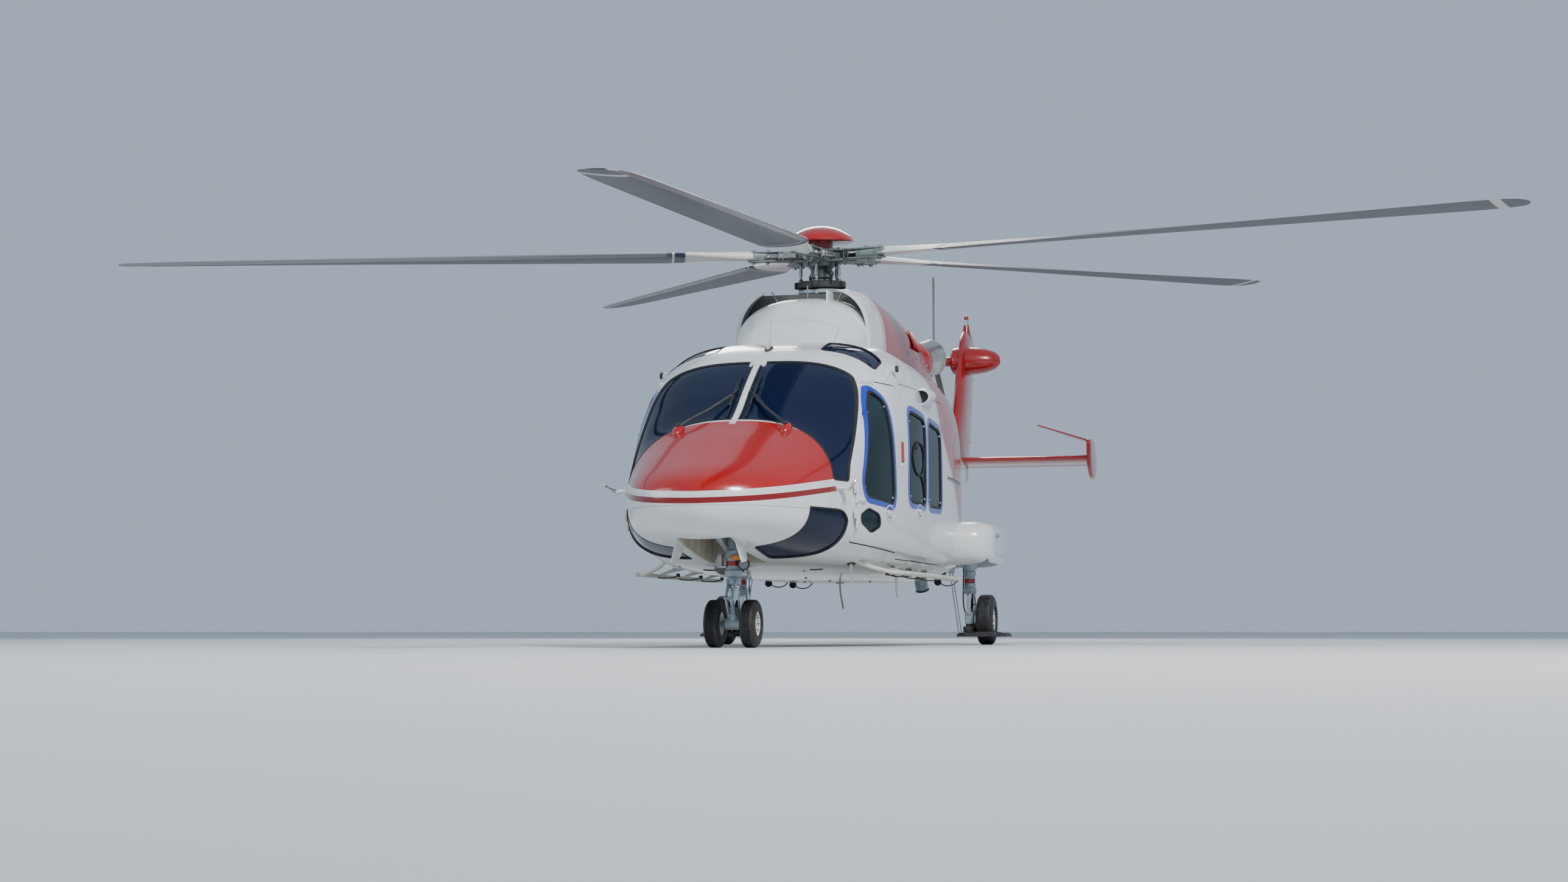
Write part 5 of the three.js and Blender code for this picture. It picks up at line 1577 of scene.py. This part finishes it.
    def execute(self, context):
        sponson = loft([
            [(x + SPONSON_X, y, z) for x, y, z in section(row, 0, 72)] for row in rows_of(SPONSON, 30)])
        cut(sponson, box((940, 800, 400), (1334, 1640, 1035)), hull(FUSELAGE, 0, 120, 96))
        pair("sponson_skin", "plain_white", sponson, node="sponson_{side}")
        self.main_gear()
        self.snow_pad(MAIN_WHEEL[1])
        self.nose_gear()
        self.bay_fittings(NOSE_WHEEL[1])
        self.steps()
        return {"FINISHED"}


CLOTH_FRAMES = 20


def swell(pad, voxel, pressure, most):
    """Fills a pad by a cloth simulation under pressure. No point moves further than most."""
    modify(pad, "REMESH", mode="VOXEL", voxel_size=voxel)
    start = [vertex.co.copy() for vertex in pad.data.vertices]
    cloth = pad.modifiers.new("Cloth", "CLOTH")
    cloth.settings.use_pressure = True
    cloth.settings.uniform_pressure_force = pressure
    cloth.settings.effector_weights.gravity = 0
    for step in range(1, CLOTH_FRAMES + 1):
        bpy.context.scene.frame_set(step)
    focus(pad)
    bpy.ops.object.modifier_apply(modifier=cloth.name)
    bpy.context.scene.frame_set(1)
    for vertex, before in zip(pad.data.vertices, start):
        move = vertex.co - before
        vertex.co = before + move * min(1, most / max(move.length, 1e-9))
    return modify(pad, "SMOOTH", factor=0.5, iterations=2)


# Pads of a crew seat. Columns: side view, from and to across, width of the rounding.
SEAT_WING = ([(-2030, 1235), (-1915, 1235), (-1820, 1720), (-1885, 1740), (-2010, 1500)], 30)
SEAT_ROLL = ([(-2395, 1140), (-2380, 1235), (-2300, 1268), (-2010, 1252), (-1985, 1140)], 26)
SEAT_PADS = [
    (([
        (-2400, 1135), (-2400, 1205), (-2330, 1245), (-2020, 1222), (-1960, 1240), (-1960, 1135),
    ], 30), 236, 614, 24),
    (([
        (-2010, 1225), (-1905, 1225), (-1805, 1770), (-1850, 1812), (-1895, 1790), (-1968, 1500),
        (-1990, 1400),
    ], 30), 246, 604, 22),
    (([(-1868, 1842), (-1800, 1836), (-1775, 1960), (-1848, 1972)], 26), 330, 520, 20),
    (SEAT_WING, 205, 262, 20), (SEAT_ROLL, 197, 262, 20), (SEAT_WING, 588, 645, 20),
    (SEAT_ROLL, 580, 637, 20),
]


class HELI_OT_inside(Operator):
    """Seats, instrument panel and the finish of what shows inside"""

    bl_idname = "heli.inside"
    bl_label = "Cabin inside"

    def seats(self):
        pads = join(*[prism(outline, "x", low, high, edge, 4) for outline, low, high, edge in SEAT_PADS])
        swell(pads, voxel=0.007, pressure=4, most=0.012)
        for pad in pair("crew_seat_pads", "cloth", pads, node="crew_seat_{side}"):
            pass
        pair(
            "crew_seat_base", "dark_composite", box((220, -2360, 1096), (630, -1940, 1138), 12, 3),
            prism(([
                (-1925, 1110), (-1888, 1110), (-1782, 1780), (-1800, 1800), (-1815, 1780),
            ], 12), "x", 222, 628, 8, 3),
            *[box((x, -2380, CABIN_FLOOR), (x + 30, -1920, 752), 5) for x in (240, 580)],
            *[rod((x, y, 745), (x, y - 20, 1120), 16, count=16) for x in (255, 595) for y in (-2300, -1980)],
            *[rod((x, -1806, 1760), (x, -1800, 1860), 8, count=14) for x in (380, 470)],
        )

    def execute(self, context):
        repaint("nose_gear_bay", "bay_paint")
        repaint("cabin_floor", "lining")
        repaint("powerplant", "steel")
        self.seats()
        settle(
            "instrument_panel_shell", "dark_composite", prism(([
                (-2770, 1372), (-2770, 1392), (-2600, 1428), (-2500, 1424), (-2496, 1404), (-2560, 1380),
            ], 14), "x", -545, 545, 14, 3),
            box((-520, -2660, 1060), (520, -2540, 1390), 20, 3),
            box((-110, -2640, CABIN_FLOOR), (110, -2150, 1010), 14, 3),
            box((-110, -2660, 900), (110, -2540, 1100), 6), node="instrument_panel",
        )
        settle(
            "instrument_screens", "screen",
            *[box((x - 88, -2546, 1150), (x + 88, -2533, 1356), 5) for x in (-410, -215, 215, 410)],
            *[box((-80, -2546, 1170 + 66 * k), (80, -2534, 1226 + 66 * k), 4) for k in range(3)],
            *[box((-84, -2560 + 92 * k, 1004), (84, -2484 + 92 * k, 1018), 4) for k in range(4)],
        )
        settle("console_knobs", "steel", *knobs([(0, 0), (8, 0), (7, 12), (0, 13)], 14, [
            shift(x, -2528 + 92 * k, 1016) for k in range(4) for x in (-60, -20, 20, 60)]))
        pair(
            "crew_sticks", "dark_composite",
            tube([(425, -2300, 760), (425, -2420, 860), (425, -2470, 1000), (425, -2440, 1180)], 14, 14),
            rod((425, -2444, 1160), (425, -2424, 1280), 20, count=20),
        )
        settle("crew_levers", "dark_composite", *[lever for x in (672, -178) for lever in (
            rod((x, -1980, 800), (x, -2320, 1010), 15, count=16),
            rod((x, -2300, 998), (x, -2390, 1052), 21, count=20),
        )])
        return {"FINISHED"}


def stations(start, stop, parts):
    return [start + (stop - start) * k / parts for k in range(parts + 1)]


def strip(places, profile):
    """Strip of one section through frames; the profile lists distances across and outwards."""
    return loft([[place @ Vector((0, across, out)) for across, out in profile] for place in places])


def off_skin(*places):
    """Points over the upper skin, each from x, y and the distance off it."""
    return [top_at(*place).translation for place in places]


def plate(outline, low, high, place, edge=0, segments=2):
    """Plate of an outline in a frame's own plane."""
    return carry(prism(outline, "z", low, high, edge, segments), place)


class HELI_OT_glazing_fittings(Operator):
    """Wipers, window post, vents and the fittings round the windows"""

    bl_idname = "heli.glazing_fittings"
    bl_label = "Window fittings"

    def post(self):
        """Raised cover along the middle of the windshield, its head and its bolts."""
        strips = []
        for half, start, stop, thick in ((24, -2945, -2190, 9), (64, -2215, -2060, 7)):
            strips.append(strip(
                [shift(0, y, skin_z(FUSELAGE, y, 0)) @ spin(-90, "Z") for y in stations(start, stop, 24)],
                twofold([(-half, -12), (-half, thick - 2), (3 - half, thick)]),
            ))
        settle("windshield_post_cover", "plain_white", *strips)
        bolts = []
        for x in (-15, 15):
            for y in range(-2900, -2200, 100):
                z = skin_z(FUSELAGE, y, 0)
                bolts.append(rod((x, y, z + 4), (x, y, z + 11), 4, count=12))
        settle("windshield_post_bolts", "steel", *bolts)

    def cover(self, radii, at):
        """Blister on an oval flange with a screw at each end."""
        length, width, _ = radii
        seam = [(length * c, width * 1.02 * s, 6) for c, s in (
            (0.86, 0.5), (0.5, 0.86), (0, 0.99), (-0.5, 0.86), (-0.86, 0.5))]
        return carry(join(
            ball((0, 0, 0), radii), prism(oval(length + 9, width + 7), "z", -5, 3, 1.5), tube(seam, 2, 8, 4),
            *[rod((x, 0, 0), (x, 0, 5), 4, count=10) for x in (-length - 2, length + 2)],
        ), at)

    def wiper(self):
        pair("wiper_pivot_cover", "plain_red", self.cover((88, 44, 46), top_at(415, -2950)))
        pair(
            "wiper_arm", "dark_composite",
            *[tube(off_skin(*[(x + by, y, out) for x, y, out in (
                (405, -2945, 36), (330, -2880, 44), (210, -2760, 40), (92, -2620, 30))]), 6, 10)
              for by in (-9, 9)],
            tube(off_skin(*[(80, y, 24) for y in (-2720, -2640, -2560, -2480)]), 5, 10),
            *[rod(*off_skin((92, y, 31), (78, y + 6, 12)), 5, count=10) for y in (-2716, -2620, -2486)],
            rod(*off_skin((405, -2945, 20), (405, -2945, 58)), 17),
            tube(off_skin((92, -2620, 34), (60, -2600, 44), (48, -2560, 40), (64, -2530, 28)), 4, 10),
        )
        blade_places = [top_at(76, y) for y in stations(-2850, -2370, 20)]
        pair("wiper_blade", "rubber", strip(blade_places, twofold([(-2, 1), (-6, 12), (-3, 17)])))

    def vent_ring(self):
        ring = [(a - 1140, b + 1515) for a, b in arc(205, 135, range(0, 361, 9))]
        pipe = [(-1080, 1386), (-1010, 1350), (-950, 1290), (-915, 1220), (-905, 1180)]
        pair(
            "cabin_window_vent", "rubber", *[
                tube([side_at(y, z, -3).translation for y, z in line], 8, 12, steps)
                for line, steps in ((ring, 2), (pipe, 8))],
            *knobs([(0, -8), (17, -8), (19, 0), (17, 9), (8, 12), (0, 12)], 24, [side_at(-1250, 1600, -4)]),
        )

    def execute(self, context):
        self.post()
        self.wiper()
        self.vent_ring()
        bulge = self.cover((62, 24, 24), side_at(-2590, 1100))
        pair("door_vent_cover", "plain_white", bulge, body=COCKPIT_BODY)
        pair("roof_side_cover", "plain_white", self.cover((88, 28, 30), side_at(-2085, 2052)))
        for name, body, profile, count, places in (
            ("door_window_studs", COCKPIT_BODY, [(0, -6), (10, -6), (11, 0), (8, 6), (0, 8)], 20,
             ((-2520, 1205), (-2010, 1860), (-1960, 1150), (-2290, 1790))),
            ("cabin_window_studs", "airframe", [(0, -6), (11, -6), (12, 0), (9, 6), (0, 8)], 18,
             ((-1440, 1195), (-1420, 1800), (-920, 1800), (-925, 1200), (-690, 1800), (-205, 1780),
              (-200, 1210), (-690, 1210))),
        ):
            studs = knobs(profile, count, [side_at(y, z, -4) for y, z in places])
            pair(name, "steel", *studs, body=body)
        return {"FINISHED"}


class HELI_OT_side_fittings(Operator):
    """Handles, hinges, scoops, lamps and pitot tubes"""

    bl_idname = "heli.side_fittings"
    bl_label = "Side fittings"

    def handles(self):
        for name, y, z, body in HANDLES:
            at = side_at(y, z)
            pair(f"{name}_handle", "plain_white", *carry_all(at, [
                bar("z", (-66, 4, 9), (52, -6, 15), 19, 13, 6), rod((-66, 4, -16), (-66, 4, 18), 12),
                rod((30, 20, -16), (30, 20, -2), 9),
            ]), body=body)
            rim = cut(prism(oval(112, 62), "z", -5, 4), prism(oval(112 * 0.9, 62 * 0.84), "z", -15, 14))
            pair(f"{name}_rim", "plain_white", carry(bevel(rim, 2), at), body=body)

    def hinges(self):
        for name, x, y, heights, finish in (
            ("cockpit_door", 895, -2700, (880, 1070), "plain_white"),
            ("baggage_door", 910, 1750, (1290, 1480), "plain_red"),
        ):
            for kind, body, way, rise in (
                ("hinges", name + "_{side}_body", 1, 0), ("frame_hinges", "airframe", -1, 71),
            ):
                parts = []
                near, far = sorted((y + way * 4, y + way * 60))
                pin = y + way * 40
                for low in [height + rise for height in heights]:
                    parts.append(rod((x, y, low), (x, y, low + 68), 12))
                    parts.append(box((x - 8, near, low + 2), (x + 5, far, low + 66), 3))
                    for z in (low + 16, low + 52):
                        parts.append(rod((x + 4, pin, z), (x + 8, pin, z), 6, count=12, edge=1))
                pair(f"{name}_{kind}", finish, *parts, body=body)

    def scoop(self):
        at = side_at(-760, 2060) @ spin(6, "Z")
        tools = carry_all(at, [box((-500, -200, -200), (-175, 200, 200)), ball((-40, 0, 0), (300, 60, 78))])
        body = cut(carry(ball((0, 0, 0), (350, 74, 92)), at), *tools, hull(FUSELAGE, 10, 60, 96, -1300, -100))
        pair("side_scoop", "plain_white", bevel(body, 3))
        duct = turned([(0, 0), (56, 0), (60, 8), (60, 14), (0, 14)], axis=(1, 0, 0), count=40)
        pair("side_scoop_duct", "dark_composite", carry(duct, at @ shift(-120, 0, 14)))

    def lamps(self):
        roof, sponson = ((905, -1570, 2196), (1, 0.05, 0.12), 32), ((1390, 1000, 985), (1, -0.4, 0.1), 24)
        for name, finish, place, profile in (
            ("roof_side_lamp", "plain_white", roof, [
                (0, -40), (18, -36), (27, -10), (28, 30), (24, 62), (22, 64), (0, 64),
            ]),
            ("roof_side_lamp_end", "dark_composite", roof, [
                (0, 60), (23, 60), (27, 66), (27, 84), (22, 86), (20, 78), (0, 78),
            ]),
            ("sponson_lamp_base", "steel", sponson, [(0, -36), (24, -36), (26, -8), (22, 0), (0, 0)]),
            ("sponson_lamp", "lamp_glass", sponson, [
                (0, -4), (20, -4), (20, 10), (16, 22), (8, 29), (0, 31),
            ]),
        ):
            pair(name, finish, turned(profile, *place))
        at = side_at(-1710, 1525)
        pair("side_light_bar", "red_lens", plate((corners(-17, -82, 17, 82), 12), -6, 15, at, 5, 3))
        foot = plate((corners(-10, -112, 14, -88), 6), -6, 13, at, 3)
        pair("side_light_bar_foot", "plain_white", foot)

    def pitots(self):
        root, arm, tip = Vector((760, -2945, 1172)), Vector((896, -2940, 1165)), Vector((961, -3068, 1210))
        rings = []
        for t in stations(0, 1, 8):
            chord, thick = 120 - 62 * t, 44 - 16 * t
            rings.append([
                root.lerp(arm, t) + Vector((0, (c - 0.45) * chord, w * thick / 2)) for c, w in FOIL])
        pair("pitot_mast", "plain_white", loft(rings), ball(arm, (18, 30, 16)))
        length = (tip - arm).length
        pair("pitot_tube", "chrome", turned([
            (0, -20), (14, -18), (15, 20), (13, 50), (10, 70), (10, length - 26), (8, length - 3),
            (6, length), (4, length), (4, length - 14), (0, length - 14),
        ], arm, tip - arm, 28))

    def rails(self):
        rail = twofold([(-14, -5), (-14, 7), (-11, 10), (-4, 10), (-4, 3)])
        sill = twofold([(-9, -5), (-9, 7), (-5, 10)])
        for name, finish, line, z, places in (
            ("sliding_door_rail", "steel", rail, 1450, stations(150, 1000, 18)),
            ("sliding_door_sill", "step_paint", sill, 655, stations(-1500, 60, 30)),
        ):
            pair(name, finish, strip([side_at(y, z) for y in places], line))

    def execute(self, context):
        self.handles()
        self.hinges()
        self.scoop()
        self.lamps()
        self.pitots()
        self.rails()
        return {"FINISHED"}


class HELI_OT_aerials(Operator):
    """Aerials, belly and tail fittings"""

    bl_idname = "heli.aerials"
    bl_label = "Aerials and belly"

    def blade_aerials(self):
        """Aerials with a thin aerofoil section, and their feet."""
        masts, feet = [], []
        for x, y, root, height, chord, foot in (
            (0, -1850, 2350, 280, 130, top_at(0, -1850)), (724, -2120, 660, -220, 110, belly_at(724, -2120)),
            (789, -680, 620, -220, 110, belly_at(789, -680)),
            (0, 4160, 1430, -210, 110, on_skin(BOOM, 4160, x=0, over=False)),
            (0, 5790, 1660, -220, 110, on_skin(BOOM, 5790, x=0, over=False)),
        ):
            rings = []
            for t in stations(0, 1, 6):
                front, rear = y - chord / 2 + t * chord * 0.62, y + chord / 2 + t * chord * 0.06
                rings.append([
                    (x + w * (9 - 5 * t), front + (rear - front) * c, root + height * t) for c, w in FOIL])
            masts.append(loft(rings))
            feet.append(plate(oval(chord * 0.72, 30), -6, 7, foot, 3))
        settle("blade_aerials", "step_paint", *masts)
        settle("blade_aerial_feet", "dark_composite", *feet)

    def belly(self):
        drum = belly_at(600, 1430)
        case = [(0, 8), (57, 8), (60, 14), (60, 112), (57, 118), (0, 118)]
        settle("belly_drum", "gear_paint", *knobs(case, 44, [drum]))
        lid = [(0, 0), (60, 0), (63, 3), (63, 13), (60, 16), (0, 16)]
        lids = knobs(lid, 44, [drum @ shift(0, 0, low) for low in (-4, 116)])
        settle("belly_drum_ends", "dark_composite", *lids)
        whip = tube([
            (-60, 985, 566), (-60, 986, 520), (-58, 994, 470), (-50, 1014, 400), (-42, 1036, 330),
        ], 9, 14)
        settle("belly_whip", "step_paint", whip, plate(oval(38, 38), -5, 10, belly_at(-60, 985), 3))
        for x, y in ((-786, 1178), (-590, 1330), (800, 1240)):
            z = skin_z(FUSELAGE, y, x, False)
            cable = [(10, 10, -34), (60, 40, -62), (130, 50, -56), (190, 40, -8)]
            settle(
                f"belly_lump_{abs(x)}", "rubber", ball((x, y, z - 30), (34, 40, 34)),
                rod((x, y, z + 14), (x, y, z - 12), 20),
                tube([(x + a, y + b, z + c) for a, b, c in cable], 5, 10),
            )
        at = belly_at(*LANDING_LAMP)
        for name, finish, axis, profile in (
            ("landing_lamp_cup", "dark_composite", (0, 0, 1), [
                (0, -31), (58, -31), (66, 2), (64, 4), (60, 3), (54, -24), (0, -25),
            ]),
            ("landing_lamp_bowl", "chrome", (0.15, 0, 1), [
                (0, -22), (30, -20), (47, -10), (50, 8), (46, 10), (40, -4), (24, -12), (0, -14),
            ]),
            ("landing_lamp_glass", "lamp_glass", (0.15, 0, 1), [(0, 2), (43, 2), (44, 7), (30, 12), (0, 14)]),
        ):
            pair(name, finish, carry(turned(profile, axis=axis, count=44), at))
        drains = ((300, -1900), (-300, -1900), (0, -600), (300, 600), (-300, 600), (0, 300))
        settle("belly_drains", "steel", *knobs(
            [(0, -4), (13, -4), (14, 0), (10, 7), (0, 8)], 20, [belly_at(*place) for place in drains]))
        curve = arc(52, 40, range(20, 161, 20))
        settle("belly_drip_arcs", "dark_composite", *[
            tube([belly_at(x + a, b - 2060, 2).translation for a, b in curve], 4, 8, 3) for x in (430, -430)])

    def tail(self):
        for name, finish, profile in (
            ("beacon_base", "plain_red", [
                (0, 3700), (60, 3700), (52, 3770), (40, 3830), (36, 3872), (0, 3872),
            ]),
            ("beacon_stack", "chrome", [
                (0, 3868), (34, 3868), (36, 3874), (36, 3886), (31, 3890), (31, 3896), (36, 3900), (36, 3912),
                (31, 3916), (31, 3922), (36, 3926), (36, 3938), (30, 3942), (0, 3942),
            ]),
            ("beacon_lens", "red_lens", [
                (0, 3938), (28, 3938), (29, 3945), (28, 3975), (20, 3992), (8, 3999), (0, 4000),
            ]),
        ):
            settle(name, finish, turned(profile, (0, BEACON_Y, 0), count=36))
        settle("tail_guard", "plain_red", tube([
            (0, 7120, 1985), (0, 7300, 1900), (0, 7480, 1880), (0, 7640, 1935), (0, 7720, 2020)], 14, 16))
        settle("fin_panel_studs", "steel", *[
            rod((side * x, y, z), (side * (x + 10), y, z), 8, count=14, edge=3)
            for side in (1, -1) for x, y, z in ((96, 7500, 2400), (86, 7700, 2800), (80, 7900, 3200))])

    def execute(self, context):
        self.blade_aerials()
        self.belly()
        self.tail()
        return {"FINISHED"}


class HELI_OT_engine_fittings(Operator):
    """Intake screens, cowling latches and vents"""

    bl_idname = "heli.engine_fittings"
    bl_label = "Engine fittings"

    def intake(self):
        screen = cut(
            common(slab(-528, -514, 2200), hull(COWLING, COWL_WALL + 1, 50, 80)),
            hull(HUMP, -1, 45, 80), hull(FUSELAGE, -1, 120, 96),
        )
        settle("intake_screen", "mesh_screen", screen)
        middle = Vector((0, -532, 2480))
        ways = [Vector((a, 0, b)) for a, b in arc(1, 1, (28, 60, 90, 120, 152))]
        bars = join(*[rod(middle + way * 380, middle + way * 700, 6, count=10) for way in ways])
        settle("intake_bars", "steel", common(bars, hull(COWLING, COWL_WALL + 1, 50, 80)))

    def execute(self, context):
        self.intake()
        pair("cowling_latches", "steel", *[
            plate((corners(-26, -9, 26, 9), 6), -3, 5, on_skin(COWLING, y, z=2600), 1.5)
            for y in (560, 900, 1220, 1500, 1850, 2120)])
        places = [
            on_skin(COWLING, 760 + 52 * k, z=2760) @ shift(0, 0, 6) @ spin(16, "Y") for k in range(7)]
        pair("cowling_louvres", "plain_red", *[
            plate((corners(-20, -95, 20, 95), 8), -3, 3, place, 1.5) for place in places])
        way, radius = (EXHAUST_END - EXHAUST_START).normalized(), EXHAUST_RADIUS
        pair("exhaust_fairing", "plain_red", turned([
            (radius + 5, 0), (radius + 50, 0), (radius + 44, 60), (radius + 22, 140), (radius + 8, 160),
            (radius + 5, 158), (radius + 5, 0),
        ], EXHAUST_START + way * 90, way, 56))
        pair("engine_drains", "steel", *[
            tube([(520, y, 700), (524, y + 8, 660), (530, y + 20, 620), (534, y + 44, 596)], 7, 12)
            for y in (1250, 1400)])
        return {"FINISHED"}


FLOOR_RADIUS = 900
SKY_COLOR, SKY_STRENGTH = (0.68, 0.83, 1, 1), 0.6
CAMERA_TILT = 95  # degrees, 90 is level
CAMERA_TURN = 1  # degrees, the mast stands this far to the right of the picture's middle
# Soft lights. Columns: name, place, target, width and power.
LIGHTS = [
    ("key", (9, -14, 13), (0, -1, 1.5), 4, 3600), ("fill", (-14, -9, 7), (0, -1, 1.5), 9, 500),
    ("rim", (-4, 15, 11), (0, 0, 2), 7, 1300),
]


class HELI_OT_stage(Operator):
    """Floor, lights and camera"""

    bl_idname = "heli.stage"
    bl_label = "Stage"

    def execute(self, context):
        stage = context.scene.helicopter_stage
        deselect()
        bpy.ops.mesh.primitive_circle_add(vertices=256, radius=FLOOR_RADIUS, fill_type="NGON")
        floor = context.object
        floor.name = "studio_floor"
        finish = Finish("studio_floor", roughness=0.85)
        finish.feed(base_color=finish.mix(finish.noise(0.6, 3), (0.6, 0.61, 0.62), (0.64, 0.65, 0.66)))
        floor.data.materials.append(finish.material)
        for name, place, target, size, power in LIGHTS:
            data = bpy.data.lights.new(name, "AREA")
            data.shape, data.size, data.energy = "DISK", size, power
            lamp = bpy.data.objects.new(name, data)
            lamp.location = place
            lamp.rotation_euler = (Vector(target) - Vector(place)).to_track_quat("-Z", "Y").to_euler()
            context.scene.collection.objects.link(lamp)
        world = bpy.data.worlds.new("studio")
        context.scene.world = world
        world.use_nodes = True
        sky = world.node_tree.nodes["Background"]
        sky.inputs["Color"].default_value = SKY_COLOR
        sky.inputs["Strength"].default_value = SKY_STRENGTH
        camera = bpy.data.objects.new("camera", bpy.data.cameras.new("camera"))
        context.scene.collection.objects.link(camera)
        context.scene.camera = camera
        camera.data.lens = stage.lens
        camera.data.clip_end = 1000
        mast = spot((0, 0, 0))
        aside, ahead = stage.distance * sin(stage.azimuth), stage.distance * cos(stage.azimuth)
        camera.location = (mast.x + aside, mast.y - ahead, stage.height)
        camera.rotation_euler = (radians(CAMERA_TILT), 0, stage.azimuth + radians(CAMERA_TURN))
        return {"FINISHED"}


class HELI_PT_panel(Panel):
    """Lists the helicopter's pieces"""

    bl_label = "Helicopter"
    bl_idname = "HELI_PT_panel"
    bl_space_type = "VIEW_3D"
    bl_region_type = "UI"
    bl_category = "Helicopter"

    def draw(self, context):
        for name in ("white", "red", "blue", "belly"):
            self.layout.prop(context.scene.helicopter_colours, name)
        for name in ("azimuth", "distance", "height", "lens"):
            self.layout.prop(context.scene.helicopter_stage, name)
        for operator in OPERATORS:
            self.layout.operator(operator.bl_idname)


OPERATORS = (
    HELI_OT_stage, HELI_OT_shell, HELI_OT_rear, HELI_OT_tail, HELI_OT_rotor, HELI_OT_tail_rotor,
    HELI_OT_undercarriage, HELI_OT_inside, HELI_OT_glazing_fittings, HELI_OT_side_fittings, HELI_OT_aerials,
    HELI_OT_engine_fittings,
)
CLASSES = (HelicopterColours, HelicopterStage, *OPERATORS, HELI_PT_panel)


def register():
    for cls in CLASSES:
        bpy.utils.register_class(cls)
    bpy.types.Scene.helicopter_colours = PointerProperty(type=HelicopterColours)
    bpy.types.Scene.helicopter_stage = PointerProperty(type=HelicopterStage)


def unregister():
    del bpy.types.Scene.helicopter_stage
    del bpy.types.Scene.helicopter_colours
    for cls in reversed(CLASSES):
        bpy.utils.unregister_class(cls)


def main():
    register()
    for operator in OPERATORS:
        group, name = operator.bl_idname.split(".")
        getattr(getattr(bpy.ops, group), name)()


if __name__ == "__main__":
    main()
